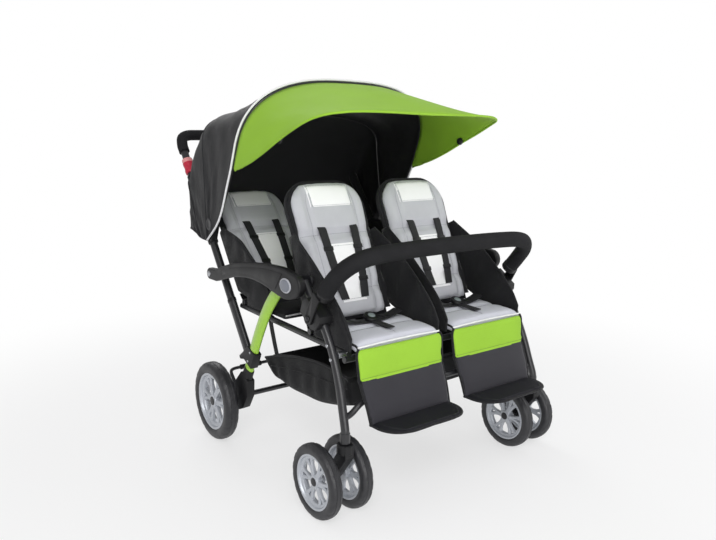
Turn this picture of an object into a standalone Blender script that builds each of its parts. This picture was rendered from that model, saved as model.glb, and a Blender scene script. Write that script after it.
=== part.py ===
"""Quadruple stroller: two rows of two seats on a folding frame with a canopy.

Units are metres, +Z is up, the stroller's front faces -Y and x = 0 is its middle plane. The floor is z = 0.
"left" and "right" are those of the person who pushes it, so left is +X.
"""
from math import cos, pi, radians, sin

import bmesh
import bpy
from mathutils import Matrix, Vector

# Overall sizes
LENGTH = 1.150
SEAT_HALF_WIDTH = 0.149
SEAT_GAP = 0.034
SEAT_X = SEAT_HALF_WIDTH + SEAT_GAP / 2
TOUCH_GAP = 0.0003
SIDES = {"left": 1, "right": -1}

# The rail under each seat's outer edge, and the planes of the parts beside it
SEAT_OVER_RAIL = 0.003
RAIL_X = SEAT_X + SEAT_HALF_WIDTH - SEAT_OVER_RAIL
FRONT_LEG_X = RAIL_X + 0.033
REAR_LEG_X = RAIL_X + 0.038
HANDLE_X = RAIL_X + 0.023
BRACKET_INNER_X = RAIL_X + 0.0135
SOCKET_INNER_X = FRONT_LEG_X - 0.016
SOCKET_OUTER_X = FRONT_LEG_X + 0.0245
BUMPER_ARM_X = FRONT_LEG_X + 0.004

# Rear wheels
REAR_TYRE_RADIUS = 0.125
REAR_RIM_RADIUS = 0.091
REAR_WHEEL_WIDTH = 0.045
REAR_WHEEL_X = REAR_LEG_X + 0.045
REAR_AXLE_Y = 0.203
REAR_AXLE_RADIUS = 0.007

# Front twin casters
FRONT_TYRE_RADIUS = 0.097
FRONT_RIM_RADIUS = 0.072
FRONT_WHEEL_WIDTH = 0.034
TWIN_SPACING = 0.095
CASTER_X = FRONT_LEG_X + 0.014
CASTER_Y = -0.453
CASTER_TRAIL = 0.056
CASTER_TOP_Z = 0.205
FRONT_AXLE_RADIUS = 0.006
FORK_WIDTH = 0.026
BORE_CLEARANCE = 0.0003
WHEEL_SIDE_CLEARANCE = 0.001
REAR_WHEEL_STEPS = 22
FRONT_WHEEL_STEPS = 18

# Frame tubes, by their radius, and the side mouldings
LEG_TUBE_RADIUS = 0.011
REAR_LEG_HALF_DEPTH = 0.020
REAR_LEG_HALF_WIDTH = 0.011
RAIL_RADIUS = 0.009
CROSS_TUBE_RADIUS = 0.008
HANDLE_TUBE_RADIUS = 0.0125
HANDLE_GRIP_RADIUS = 0.018
PIN_RADIUS = 0.005
ARMREST_INNER_X = REAR_LEG_X + REAR_LEG_HALF_WIDTH + 0.0005
ARMREST_THICKNESS = 0.022
BRACKET_THICKNESS = 0.008

# Joint centres in the side view, as (y, z)
ARMREST_PIVOT = (-0.221, 0.569)
REAR_LEG_PIVOT = (-0.155, 0.560)
HANDLE_PIVOT = (0.248, 0.531)
CANOPY_PIVOT = (0.280, 0.684)
BUMPER_PIVOT = (-0.312, 0.497)
BRAKE_PIVOT = (0.165, 0.150)

# Seats
SEAT_PAD_THICKNESS = 0.026
BACK_LENGTH = 0.430
BACK_BOARD_THICKNESS = 0.010
BACK_PAD_THICKNESS = 0.034
BACK_HALF_WIDTH_TOP = SEAT_HALF_WIDTH - 0.019
BACK_HALF_WIDTH_BOTTOM = SEAT_HALF_WIDTH - 0.037
BINDING_WIDTH = 0.008
SIDE_PANEL_THICKNESS = 0.0025
STRAP_WIDTH = 0.026
STRAP_THICKNESS = 0.002
ROWS = {
    "front": {"hinge": (-0.235, 0.437), "lean": radians(24.0)},
    "rear": {"hinge": (0.140, 0.450), "lean": radians(40.5)},
}

# Canopy
CANOPY_BESIDE_HANDLE = 0.025
CANOPY_HALF_WIDTH = HANDLE_X + CANOPY_BESIDE_HANDLE
CLOTH_THICKNESS = 0.002
BOW_RADIUS = 0.004
VISOR_REACH_Y = -0.360
VISOR_FRONT_Z = 1.016

# Basket
BASKET_HALF_WIDTH = RAIL_X - 0.020
BASKET_WALL = 0.0025

COLOURS = {
    "frame_black": ((0.020, 0.020, 0.022), 0.35, 0.6),
    "leg_green": ((0.40, 0.62, 0.06), 0.35, 0.2),
    "black_plastic": ((0.022, 0.022, 0.024), 0.5, 0.0),
    "foam": ((0.030, 0.030, 0.033), 0.9, 0.0),
    "release_red": ((0.60, 0.03, 0.07), 0.4, 0.0),
    "tyre_rubber": ((0.060, 0.060, 0.065), 0.75, 0.0),
    "rim_silver": ((0.48, 0.49, 0.52), 0.4, 0.3),
    "black_cloth": ((0.018, 0.018, 0.021), 0.85, 0.0),
    "charcoal_cloth": ((0.050, 0.050, 0.060), 0.8, 0.0),
    "grey_cloth": ((0.50, 0.50, 0.55), 0.8, 0.0),
    "green_cloth": ((0.36, 0.62, 0.07), 0.7, 0.0),
    "webbing": ((0.012, 0.012, 0.014), 0.8, 0.0),
    "steel": ((0.65, 0.65, 0.67), 0.3, 1.0),
}


def start_empty():
    for obj in list(bpy.data.objects):
        bpy.data.objects.remove(obj)
    scene = bpy.context.scene
    parts = bpy.data.collections.new("quadruple_stroller")
    cutters = bpy.data.collections.new("cutters")
    scene.collection.children.link(parts)
    scene.collection.children.link(cutters)
    return parts, cutters


PARTS, CUTTERS = start_empty()


def material(name):
    """One Principled material for each finish of the stroller."""
    if name in bpy.data.materials:
        return bpy.data.materials[name]
    colour, roughness, metallic = COLOURS[name]
    made = bpy.data.materials.new(name)
    made.use_nodes = True
    shader = made.node_tree.nodes["Principled BSDF"]
    shader.inputs["Base Color"].default_value = (*colour, 1.0)
    shader.inputs["Roughness"].default_value = roughness
    shader.inputs["Metallic"].default_value = metallic
    return made


def add_part(name, data, finish):
    obj = bpy.data.objects.new(name, data)
    PARTS.objects.link(obj)
    data.materials.append(material(finish))
    return obj


def mesh_part(name, bm, finish, smooth=True):
    bmesh.ops.remove_doubles(bm, verts=bm.verts, dist=0.00001)
    bmesh.ops.recalc_face_normals(bm, faces=bm.faces)
    mesh = bpy.data.meshes.new(name)
    bm.to_mesh(mesh)
    bm.free()
    if smooth:
        mesh.shade_smooth()
        mesh.set_sharp_from_angle(angle=radians(40))
    return add_part(name, mesh, finish)


def as_mesh(obj):
    """Turn a curve object into a closed mesh object of the same name and place."""
    bpy.context.view_layer.update()
    graph = bpy.context.evaluated_depsgraph_get()
    mesh = bpy.data.meshes.new_from_object(obj.evaluated_get(graph))
    bm = bmesh.new()
    bm.from_mesh(mesh)
    bmesh.ops.remove_doubles(bm, verts=bm.verts, dist=0.00001)
    bm.to_mesh(mesh)
    bm.free()
    name = obj.name
    made = bpy.data.objects.new(name + "_mesh", mesh)
    made.matrix_world = obj.matrix_world.copy()
    for collection in obj.users_collection:
        collection.objects.link(made)
    bpy.data.objects.remove(obj)
    made.name = name
    return made


def as_cutter(obj):
    """Keep an object only as the tool of a Boolean."""
    for collection in list(obj.users_collection):
        collection.objects.unlink(obj)
    CUTTERS.objects.link(obj)
    obj.hide_render = True
    obj.display_type = "WIRE"
    return obj


def boolean(obj, tool, operation):
    modifier = obj.modifiers.new(operation.lower(), "BOOLEAN")
    modifier.operation = operation
    modifier.solver = "EXACT"
    modifier.object = as_cutter(tool)


def cut(obj, tool):
    boolean(obj, tool, "DIFFERENCE")


def join(obj, tool):
    boolean(obj, tool, "UNION")


def smooth_path(points, steps):
    """Points on a smooth curve through the given ones, with a few between each pair."""
    ends = [points[0] * 2 - points[1]] + points + [points[-1] * 2 - points[-2]]
    path = []
    for a, b, c, d in zip(ends, ends[1:], ends[2:], ends[3:]):
        length = (c - b).length
        leave = (c - a) * length / (length + (b - a).length)
        arrive = (d - b) * length / (length + (d - c).length)
        straight = (c - b).normalized()
        bend = max(straight.angle(leave), straight.angle(arrive))
        count = steps if bend > 0.01 else 1
        for step in range(count):
            t = step / count
            path.append(b * (2 * t ** 3 - 3 * t ** 2 + 1) + leave * (t ** 3 - 2 * t ** 2 + t)
                        + c * (3 * t ** 2 - 2 * t ** 3) + arrive * (t ** 3 - t ** 2))
    return path + [points[-1]]


def tube(name, points, radius, finish, sides=2, steps=2):
    """A round tube or wire with closed ends along a smooth path."""
    path = smooth_path([Vector(p) for p in points], steps) if steps > 1 else [Vector(p) for p in points]
    curve = bpy.data.curves.new(name, "CURVE")
    curve.dimensions = "3D"
    curve.bevel_depth = radius
    curve.bevel_resolution = sides
    curve.use_fill_caps = True
    spline = curve.splines.new("POLY")
    spline.points.add(len(path) - 1)
    for point, place in zip(spline.points, path):
        point.co = (*place, 1.0)
    return add_part(name, curve, finish)


def flat(name, outline, place, low, high, finish):
    """A flat piece: an outline in the local XY plane of a matrix, from low to high along its local Z."""
    curve = bpy.data.curves.new(name, "CURVE")
    curve.dimensions = "2D"
    curve.fill_mode = "BOTH"
    curve.extrude = abs(high - low) / 2
    spline = curve.splines.new("POLY")
    spline.points.add(len(outline) - 1)
    for point, (a, b) in zip(spline.points, outline):
        point.co = (a, b, 0.0, 1.0)
    spline.use_cyclic_u = True
    obj = add_part(name, curve, finish)
    obj.matrix_world = place @ Matrix.Translation((0, 0, (low + high) / 2))
    return as_mesh(obj)


SIDE_VIEW = Matrix(((0, 0, 1, 0), (1, 0, 0, 0), (0, 1, 0, 0), (0, 0, 0, 1)))


def plate(name, outline, x_low, x_high, finish):
    """A flat piece with a side-view outline of (y, z) points, between two planes of x."""
    return flat(name, outline, SIDE_VIEW, x_low, x_high, finish)


def arc(centre, radius, start, end, count):
    """Points (y, z) of an arc between two angles in degrees."""
    angles = [radians(start + (end - start) * i / (count - 1)) for i in range(count)]
    return [(centre[0] + radius * cos(a), centre[1] + radius * sin(a)) for a in angles]


def rod(name, centre, axis, radius, low, high, finish, sides=16):
    """A cylinder along an axis ("X", "Z" or a vector), from low to high along it."""
    bm = bmesh.new()
    bmesh.ops.create_cone(bm, cap_ends=True, segments=sides, radius1=radius, radius2=radius,
                          depth=high - low)
    named = {"X": Vector((1, 0, 0)), "Z": Vector((0, 0, 1))}
    direction = named[axis] if isinstance(axis, str) else axis
    turn = Vector((0, 0, 1)).rotation_difference(direction).to_matrix().to_4x4()
    middle = Vector(centre) + direction * (low + high) / 2
    bmesh.ops.transform(bm, matrix=Matrix.Translation(middle) @ turn, verts=bm.verts)
    return mesh_part(name, bm, finish)


def turned(name, profile, centre, steps, finish):
    """A body turned about the X axis from a closed profile of (radius, offset along x)."""
    mesh = bpy.data.meshes.new(name)
    count = len(profile)
    edges = [(i, (i + 1) % count) for i in range(count)]
    mesh.from_pydata([(radius, 0, offset) for radius, offset in profile], edges, [])
    obj = add_part(name, mesh, finish)
    obj.matrix_world = (Matrix.Translation(centre) @ Matrix.Rotation(pi / steps, 4, "X")
                        @ Matrix.Rotation(pi / 2, 4, "Y"))
    screw = obj.modifiers.new("turn", "SCREW")
    screw.axis = "Z"
    screw.steps = steps
    screw.render_steps = steps
    screw.use_merge_vertices = True
    screw.merge_threshold = 0.0001
    screw.use_normal_calculate = True
    return obj


def mirrored(points):
    """The points, then their mirror images on the other side, so that a path crosses the stroller."""
    return list(points) + [(-x, y, z) for x, y, z in reversed(points) if abs(x) > 0]


def direction_between(a, b):
    span = Vector((b[0] - a[0], b[1] - a[1]))
    return span.normalized()


# Front frame

FRONT_LEG_PATH = [(-0.254, 0.582), (-0.294, 0.535), (-0.341, 0.485), (-0.382, 0.425), (-0.416, 0.352),
                  (-0.440, 0.280), (CASTER_Y, 0.240), (CASTER_Y, 0.226), (CASTER_Y, CASTER_TOP_Z + TOUCH_GAP)]
SWIVEL_STEM_RADIUS = 0.0055
SWIVEL_STEM_LENGTH = 0.022


def front_leg_points(side):
    top_z = FRONT_LEG_PATH[0][1]
    foot_z = FRONT_LEG_PATH[-3][1]
    points = []
    for y, z in FRONT_LEG_PATH:
        share = min(1, (top_z - z) / (top_z - foot_z)) ** 2
        points.append((side * (FRONT_LEG_X + (CASTER_X - FRONT_LEG_X) * share), y, z))
    return points


def rail_z(y):
    """Height of the seat rails' middle: they are welded under the hinge tubes of both rows."""
    front, rear = ROWS["front"]["hinge"], ROWS["rear"]["hinge"]
    drop = 2 * RAIL_RADIUS - 0.001
    slope = (rear[1] - front[1]) / (rear[0] - front[0])
    return front[1] - drop + slope * (y - front[0])


RAIL_FRONT_Y = -0.405
RAIL_REAR_Y = 0.165
LEG_BOLT_Y = -0.395


def leg_room(side):
    """The space of a front leg with the touching gap round it, as a cutter."""
    return as_mesh(tube("leg_room", front_leg_points(side), LEG_TUBE_RADIUS + TOUCH_GAP, "frame_black", 3))


def build_front_frame():
    for label, side in SIDES.items():
        leg = as_mesh(tube("front_leg_" + label, front_leg_points(side), LEG_TUBE_RADIUS, "frame_black", 3))
        foot = (side * CASTER_X, CASTER_Y, CASTER_TOP_Z)
        cut(leg, rod("bore", foot, "Z", SWIVEL_STEM_RADIUS + BORE_CLEARANCE, -0.01,
                     SWIVEL_STEM_LENGTH + BORE_CLEARANCE, "frame_black", 12))
    y = FRONT_LEG_PATH[5][0]
    inside = CASTER_X - 0.006
    cross = as_mesh(tube("front_cross_tube",
                         mirrored([(-inside, y, 0.264), (-inside + 0.023, y, 0.272), (-inside + 0.053, y, 0.292),
                                   (-inside + 0.098, y, 0.304), (0, y, 0.308)]), CROSS_TUBE_RADIUS, "frame_black"))
    for side in SIDES.values():
        cut(cross, leg_room(side))


def straight(name, start, end, radius, sides=2):
    return as_mesh(tube(name, [start, end], radius, "frame_black", sides, 1))


def build_seat_frame():
    """Three rails under the seats, the tubes that the backs hinge on, and the bolts to the legs."""
    frame = straight("seat_frame", (0, RAIL_FRONT_Y, rail_z(RAIL_FRONT_Y)), (0, RAIL_REAR_Y, rail_z(RAIL_REAR_Y)),
                     RAIL_RADIUS)
    front_y = RAIL_FRONT_Y + RAIL_RADIUS
    half = RAIL_X + RAIL_RADIUS
    for side in SIDES.values():
        x = side * RAIL_X
        join(frame, straight("rail", (x, RAIL_FRONT_Y, rail_z(RAIL_FRONT_Y)), (x, RAIL_REAR_Y, rail_z(RAIL_REAR_Y)),
                             RAIL_RADIUS))
        reach = FRONT_LEG_X - 0.004
        bolt = rod("bolt", (0, LEG_BOLT_Y, rail_z(LEG_BOLT_Y)), Vector((side, 0, 0)), RAIL_RADIUS, RAIL_X, reach,
                   "frame_black", 12)
        cut(bolt, leg_room(side))
        join(frame, bolt)
    low = rail_z(front_y) - 2 * RAIL_RADIUS + 0.002
    join(frame, straight("front_tube", (-half, front_y, low), (half, front_y, low), RAIL_RADIUS))
    for seat in ROWS.values():
        y, z = seat["hinge"]
        join(frame, straight("hinge_tube", (-half, y, z), (half, y, z), RAIL_RADIUS, 3))


def side_bracket(label, side):
    """Steel plate at the top of a front leg, with the pins of the armrest and of the rear leg."""
    low, high = BRACKET_INNER_X, BRACKET_INNER_X + BRACKET_THICKNESS
    top = FRONT_LEG_PATH[0]
    outline = arc(top, 0.016, 60, 230, 7) + arc(REAR_LEG_PIVOT, 0.017, -100, 70, 7)
    bracket = plate("side_bracket_" + label, outline, side * low, side * high, "frame_black")
    spans = ((ARMREST_PIVOT, ARMREST_INNER_X + 0.012), (REAR_LEG_PIVOT, REAR_LEG_X + REAR_LEG_HALF_WIDTH))
    for (y, z), reach in spans:
        pin = rod("pin", (0, y, z), Vector((side, 0, 0)), PIN_RADIUS, low + 0.002, reach, "frame_black", 12)
        join(bracket, pin)


ARMREST_TOP = [(0.205, 0.551), (0.150, 0.570), (0.064, 0.591), (-0.037, 0.605), (-0.130, 0.612),
               (-0.204, 0.612), (-0.252, 0.604)]
ARMREST_BOTTOM = [(-0.262, 0.541), (-0.215, 0.530), (-0.165, 0.536), (-0.093, 0.551), (-0.016, 0.556),
                  (0.080, 0.545), (0.150, 0.528), (0.205, 0.513)]


def armrest(label, side):
    """Moulded armrest: a long arm with a wide front boss over the side hinge."""
    front = arc((-0.257, 0.573), 0.030, 100, 240, 6)
    rear = arc(HANDLE_PIVOT, 0.019, -75, 75, 6)
    outline = ARMREST_TOP + front + ARMREST_BOTTOM + rear
    low, high = ARMREST_INNER_X, ARMREST_INNER_X + ARMREST_THICKNESS
    obj = plate("armrest_" + label, outline, side * low, side * high, "black_plastic")
    bevel = obj.modifiers.new("round", "BEVEL")
    bevel.width = 0.005
    bevel.segments = 1
    bevel.limit_method = "ANGLE"
    bevel.angle_limit = radians(50)
    boss = rod("boss", (0, *HANDLE_PIVOT), Vector((side, 0, 0)), 0.013,
               HANDLE_X + HANDLE_TUBE_RADIUS + TOUCH_GAP, low + 0.004, "black_plastic", 12)
    join(obj, boss)
    hole = rod("hole", (0, *ARMREST_PIVOT), Vector((side, 0, 0)), PIN_RADIUS + BORE_CLEARANCE,
               low - 0.002, low + 0.012 + BORE_CLEARANCE, "black_plastic", 12)
    cut(obj, hole)
    join(obj, armrest_cap(side))


def armrest_cap(side):
    """Blank raised oval over the side hinge."""
    high = ARMREST_INNER_X + ARMREST_THICKNESS
    y, z = ARMREST_PIVOT
    cap = rod("cap", (0, y, z), Vector((side, 0, 0)), 0.020, high - 0.004, high + 0.003, "black_plastic", 20)
    cap.data.transform(Matrix.Translation((0, y, z)) @ Matrix.Diagonal((1, 1.35, 1, 1))
                       @ Matrix.Translation((0, -y, -z)))
    return cap


def build_sides():
    for label, side in SIDES.items():
        side_bracket(label, side)
        armrest(label, side)


# Rear legs, wheels and brake

REAR_LEG_PATH = [REAR_LEG_PIVOT, (-0.124, 0.535), (-0.064, 0.470), (-0.018, 0.400), (0.018, 0.335), (0.044, 0.285),
                 (0.070, 0.235)]
HANDLE_FOOT = (0.0895, 0.306)
CROSS_TUBE_PLACE = (0.078, 0.172)
LATCH_GAP = 0.004


def oval_tube(name, points, lane, finish, half_depth=REAR_LEG_HALF_DEPTH, half_width=REAR_LEG_HALF_WIDTH, steps=2):
    """An oval tube in a plane of constant x: a round one, flattened across."""
    obj = as_mesh(tube(name, [(0, y, z) for y, z in points], half_depth, finish, 3, steps))
    flatten = Matrix.Translation((lane, 0, 0)) @ Matrix.Diagonal((half_width / half_depth, 1, 1, 1))
    obj.data.transform(flatten @ obj.matrix_world)
    obj.matrix_world = Matrix.Identity(4)
    return obj


def rear_leg(label, side):
    leg = oval_tube("rear_leg_" + label, REAR_LEG_PATH, side * REAR_LEG_X, "leg_green")
    hole = rod("hole", (0, *REAR_LEG_PIVOT), Vector((side, 0, 0)), PIN_RADIUS + BORE_CLEARANCE,
               REAR_LEG_X - 0.02, REAR_LEG_X + 0.02, "leg_green", 12)
    eye = rod("eye", (0, *REAR_LEG_PIVOT), Vector((side, 0, 0)), 0.015, REAR_LEG_X - REAR_LEG_HALF_WIDTH,
              REAR_LEG_X + REAR_LEG_HALF_WIDTH - TOUCH_GAP, "leg_green", 16)
    join(leg, eye)
    cut(leg, hole)
    join(leg, latch_bracket(side))


def wheel_housing(label, side):
    """Plastic foot of a rear leg: it holds the leg above and the wheel's stub axle behind."""
    end, before = REAR_LEG_PATH[-1], REAR_LEG_PATH[-2]
    down = direction_between(before, end)
    across = Vector((-down.y, down.x))
    top = Vector(end) + down * TOUCH_GAP
    front_top = top - across * 0.024
    rear_top = top + across * 0.022
    outline = [tuple(rear_top), (0.150, 0.186)] + arc((REAR_AXLE_Y, REAR_TYRE_RADIUS), 0.024, 70, -95, 7)
    outline += [(0.125, 0.108), (0.083, 0.128), (0.052, 0.175), tuple(front_top)]
    low, high = REAR_LEG_X - 0.013, REAR_LEG_X + 0.012
    housing = plate("wheel_housing_" + label, outline[::-1], side * low, side * high, "black_plastic")
    boss = rod("boss", (0, REAR_AXLE_Y, REAR_TYRE_RADIUS), Vector((side, 0, 0)), 0.018, low + 0.002,
               REAR_WHEEL_X - REAR_WHEEL_WIDTH / 2 - WHEEL_SIDE_CLEARANCE, "black_plastic", 16)
    axle = rod("axle", (0, REAR_AXLE_Y, REAR_TYRE_RADIUS), Vector((side, 0, 0)), REAR_AXLE_RADIUS, low + 0.004,
               REAR_WHEEL_X + 0.014, "steel", 12)
    join(housing, boss)
    join(housing, axle)


def tyre_profile(radius, rim_radius, width, steps):
    """Round-shouldered tyre section over the rim's seat, as (radius, offset), top to bottom.

    The corners of the turned polygon lie outside the radius, so that its flats touch the floor.
    """
    half = width / 2
    outer = radius / cos(pi / steps)
    wall = outer - rim_radius
    upper = [(rim_radius + TOUCH_GAP, half * 0.82), (rim_radius + wall * 0.35, half),
             (rim_radius + wall * 0.78, half * 0.88), (outer, half * 0.34)]
    return upper + [(r, -offset) for r, offset in reversed(upper)]


def rim(name, radius, width, centre, bore, bore_end, steps, windows, side):
    """A moulded wheel: a barrel under the tyre, a web with windows between the spokes, and a bored hub."""
    half = width / 2
    hub = radius * 0.20
    barrel = radius * 0.86
    profile = [(hub, half * 0.92), (hub * 1.25, half * 0.40), (barrel, half * 0.34), (radius, half * 0.86),
               (radius, -half * 0.86), (barrel, -half * 0.10), (hub * 1.25, -half * 0.16), (hub, -half * 0.98),
               (0, -half * 0.98), (0, half * 0.92)]
    wheel = turned(name, [(r, side * x) for r, x in profile][::side], centre, steps, "rim_silver")
    outer, inner = barrel * 0.94, hub * 1.7
    for index in range(windows):
        middle = 360 / windows * (index + 0.5)
        spread = 360 / windows * 0.34
        centre_yz = (centre[1], centre[2])
        outline = arc(centre_yz, outer, middle - spread, middle + spread, 3)
        outline += arc(centre_yz, inner, middle + spread * 0.7, middle - spread * 0.7, 2)
        cut(wheel, plate("window", outline, centre[0] - width, centre[0] + width, "rim_silver"))
    low, high = -half * 1.2, bore_end
    cut(wheel, rod("bore", centre, Vector((side, 0, 0)), bore, low, high, "rim_silver", 12))
    return wheel


def rear_wheels():
    for label, side in SIDES.items():
        centre = (side * REAR_WHEEL_X, REAR_AXLE_Y, REAR_TYRE_RADIUS)
        profile = tyre_profile(REAR_TYRE_RADIUS, REAR_RIM_RADIUS, REAR_WHEEL_WIDTH, REAR_WHEEL_STEPS)
        turned("rear_tyre_" + label, profile, centre, REAR_WHEEL_STEPS, "tyre_rubber")
        rim("rear_rim_" + label, REAR_RIM_RADIUS, REAR_WHEEL_WIDTH, centre, REAR_AXLE_RADIUS + BORE_CLEARANCE,
            0.014 + BORE_CLEARANCE, REAR_WHEEL_STEPS, 6, side)


def brake_bar():
    """Foot bar across the back, on two eyes at the inner faces of the wheel housings."""
    inner = REAR_LEG_X - 0.013 - TOUCH_GAP
    lane = inner - 0.006
    y, z = BRAKE_PIVOT
    bar = as_mesh(tube("brake_bar", mirrored([(-lane, y, z), (-lane, y + 0.040, z + 0.034),
                                              (-lane + 0.006, y + 0.066, z + 0.052),
                                              (-lane + 0.030, y + 0.071, z + 0.056)]), 0.0055, "frame_black"))
    for side in SIDES.values():
        join(bar, rod("eye", (0, y, z), Vector((side, 0, 0)), 0.013, inner - 0.012, inner, "frame_black", 14))


def build_rear_frame():
    for label, side in SIDES.items():
        rear_leg(label, side)
        wheel_housing(label, side)
    inner = REAR_LEG_X - 0.013 - TOUCH_GAP
    straight("rear_cross_tube", (-inner, *CROSS_TUBE_PLACE), (inner, *CROSS_TUBE_PLACE), CROSS_TUBE_RADIUS)
    brake_bar()


# Front casters

def caster_fork(label, side):
    """Swivelling fork between the twin wheels, with the axle through it."""
    axle_y = CASTER_Y + CASTER_TRAIL
    outline = arc((axle_y, FRONT_TYRE_RADIUS), 0.017, -120, 30, 6)
    outline += [(CASTER_Y + 0.020, CASTER_TOP_Z - 0.030), (CASTER_Y + 0.019, CASTER_TOP_Z),
                (CASTER_Y - 0.019, CASTER_TOP_Z), (CASTER_Y - 0.019, CASTER_TOP_Z - 0.035)]
    half = FORK_WIDTH / 2
    x = side * CASTER_X
    fork = plate("caster_fork_" + label, outline, x - half, x + half, "black_plastic")
    join(fork, rod("stem", (x, CASTER_Y, CASTER_TOP_Z), "Z", SWIVEL_STEM_RADIUS, -0.01, SWIVEL_STEM_LENGTH,
                   "steel", 12))
    reach = TWIN_SPACING / 2 + 0.010
    join(fork, rod("axle", (x, axle_y, FRONT_TYRE_RADIUS), "X", FRONT_AXLE_RADIUS, -reach, reach, "steel", 12))


def front_wheels(label, side):
    """Both wheels of a twin caster, each a tyre on a rim."""
    axle_y = CASTER_Y + CASTER_TRAIL
    for place, away in (("outer", side), ("inner", -side)):
        centre = (side * CASTER_X + away * TWIN_SPACING / 2, axle_y, FRONT_TYRE_RADIUS)
        profile = tyre_profile(FRONT_TYRE_RADIUS, FRONT_RIM_RADIUS, FRONT_WHEEL_WIDTH, FRONT_WHEEL_STEPS)
        ending = "_%s_%s" % (label, place)
        turned("front_tyre" + ending, profile, centre, FRONT_WHEEL_STEPS, "tyre_rubber")
        rim("front_rim" + ending, FRONT_RIM_RADIUS, FRONT_WHEEL_WIDTH, centre,
            FRONT_AXLE_RADIUS + BORE_CLEARANCE, 0.010 + BORE_CLEARANCE, FRONT_WHEEL_STEPS, 6, away)


def build_casters():
    for label, side in SIDES.items():
        caster_fork(label, side)
        front_wheels(label, side)


# Handle

HANDLE_TOP = (LENGTH / 2 - HANDLE_GRIP_RADIUS - 0.0008, 0.968)
HANDLE_DIRECTION = direction_between(HANDLE_FOOT, HANDLE_TOP)
SLEEVE_LENGTH = 0.175


def on_handle(distance):
    """Place (y, z) on the handle's leg, measured up from its foot."""
    return tuple(Vector(HANDLE_FOOT) + HANDLE_DIRECTION * distance)


HANDLE_LENGTH = (Vector(HANDLE_TOP) - Vector(HANDLE_FOOT)).length
FOAM_START = HANDLE_LENGTH - 0.072
GRIP_LENGTH = 0.056


def handle_path(start):
    """The U of the handle from a distance up its legs."""
    leg = [on_handle(start), on_handle(HANDLE_LENGTH - 0.060), on_handle(HANDLE_LENGTH - 0.045),
           on_handle(HANDLE_LENGTH - 0.012), HANDLE_TOP]
    xs = (-HANDLE_X, -HANDLE_X, -HANDLE_X, -HANDLE_X + 0.010, -HANDLE_X + 0.045)
    half = [(x, y, z) for x, (y, z) in zip(xs, leg)]
    return mirrored(half)


def sleeve_over(name, path, inner, outer, finish, sides=2):
    """A foam or plastic cover round a tube: an outer tube with the inner one's room cut out."""
    cover = as_mesh(tube(name, path, outer, finish, sides))
    first, last = Vector(path[0]), Vector(path[-1])
    start = first + (first - Vector(path[1])).normalized() * 0.01
    end = last + (last - Vector(path[-2])).normalized() * 0.01
    room = inner / cos(pi / (2 * sides + 4)) + TOUCH_GAP
    core = as_mesh(tube("core", [start] + [Vector(p) for p in path] + [end], room, finish, sides))
    cut(cover, core)
    return cover


def build_handle():
    handle = as_mesh(tube("handle_tube", handle_path(SLEEVE_LENGTH - 0.020), HANDLE_TUBE_RADIUS, "frame_black", 3))
    sleeve_over("handle_foam", handle_path(FOAM_START), HANDLE_TUBE_RADIUS, HANDLE_GRIP_RADIUS, "foam", 3)
    for label, side in SIDES.items():
        join(handle, oval_tube("foot", [HANDLE_FOOT, on_handle(SLEEVE_LENGTH)], side * HANDLE_X, "frame_black",
                               0.017, 0.0123, 1))
        grip_high = FOAM_START - 0.030
        y, z = on_handle(grip_high - GRIP_LENGTH)
        along = Vector((0, HANDLE_DIRECTION.x, HANDLE_DIRECTION.y))
        grip = rod("release_grip_" + label, (side * HANDLE_X, y, z), along, 0.0185, 0, GRIP_LENGTH, "release_red", 14)
        room = rod("room", (side * HANDLE_X, y, z), along, HANDLE_TUBE_RADIUS + BORE_CLEARANCE, -0.01,
                   GRIP_LENGTH + 0.01, "release_red", 16)
        cut(grip, room)


def latch_bracket(side):
    """Bracket round a rear leg whose nose stands under the foot of the handle."""
    centre = Vector((0.031, 0.310))
    down = direction_between(REAR_LEG_PATH[4], REAR_LEG_PATH[5])
    across = Vector((-down.y, down.x))
    foot = Vector(HANDLE_FOOT) - HANDLE_DIRECTION * LATCH_GAP
    normal = Vector((-HANDLE_DIRECTION.y, HANDLE_DIRECTION.x))
    corners = [centre - down * 0.022 - across * 0.024, centre - down * 0.022 + across * 0.023,
               foot + normal * 0.013, foot - normal * 0.013, foot - normal * 0.013 - HANDLE_DIRECTION * 0.012,
               centre + down * 0.034 + across * 0.023, centre + down * 0.034 - across * 0.024]
    low, high = REAR_LEG_X - 0.0135, REAR_LEG_X + 0.0135
    return plate("latch_bracket", [tuple(c) for c in corners], side * low, side * high, "leg_green")


# Bumper bar

BUMPER_RADIUS = 0.0225
BUMPER_PATH = [(-0.350, 0.560), (-0.378, 0.592), (-0.414, 0.631), (-0.440, 0.660)]
SOCKET_OUTLINE = [(-0.268, 0.507), (-0.283, 0.543), (-0.300, 0.549), (-0.359, 0.508), (-0.358, 0.491),
                  (-0.338, 0.470), (-0.316, 0.470)]
BUMPER_PLATE_THICKNESS = 0.006
BUTTON_RADIUS = 0.008
BUTTON_TRAVEL = 0.003


def bumper_bar_path():
    xs = (BUMPER_ARM_X, BUMPER_ARM_X, BUMPER_ARM_X - 0.012, BUMPER_ARM_X - 0.055)
    half = [(-x, y, z) for x, (y, z) in zip(xs, BUMPER_PATH)]
    return mirrored(half + [(-0.200, -0.446, 0.6695), (0, -0.447, 0.672)])


def build_bumper():
    path = bumper_bar_path()
    bar = as_mesh(tube("bumper_bar", path, BUMPER_RADIUS, "foam", 3))
    inner = SOCKET_OUTER_X - 0.003
    for label, side in SIDES.items():
        join(bar, bumper_arm(side))
        bumper_socket(label, side)
        rod("bumper_button_" + label, (0, *BUMPER_PIVOT), Vector((side, 0, 0)), BUTTON_RADIUS, inner,
            SOCKET_OUTER_X + BUMPER_PLATE_THICKNESS + 0.004, "black_plastic", 16)


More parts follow.
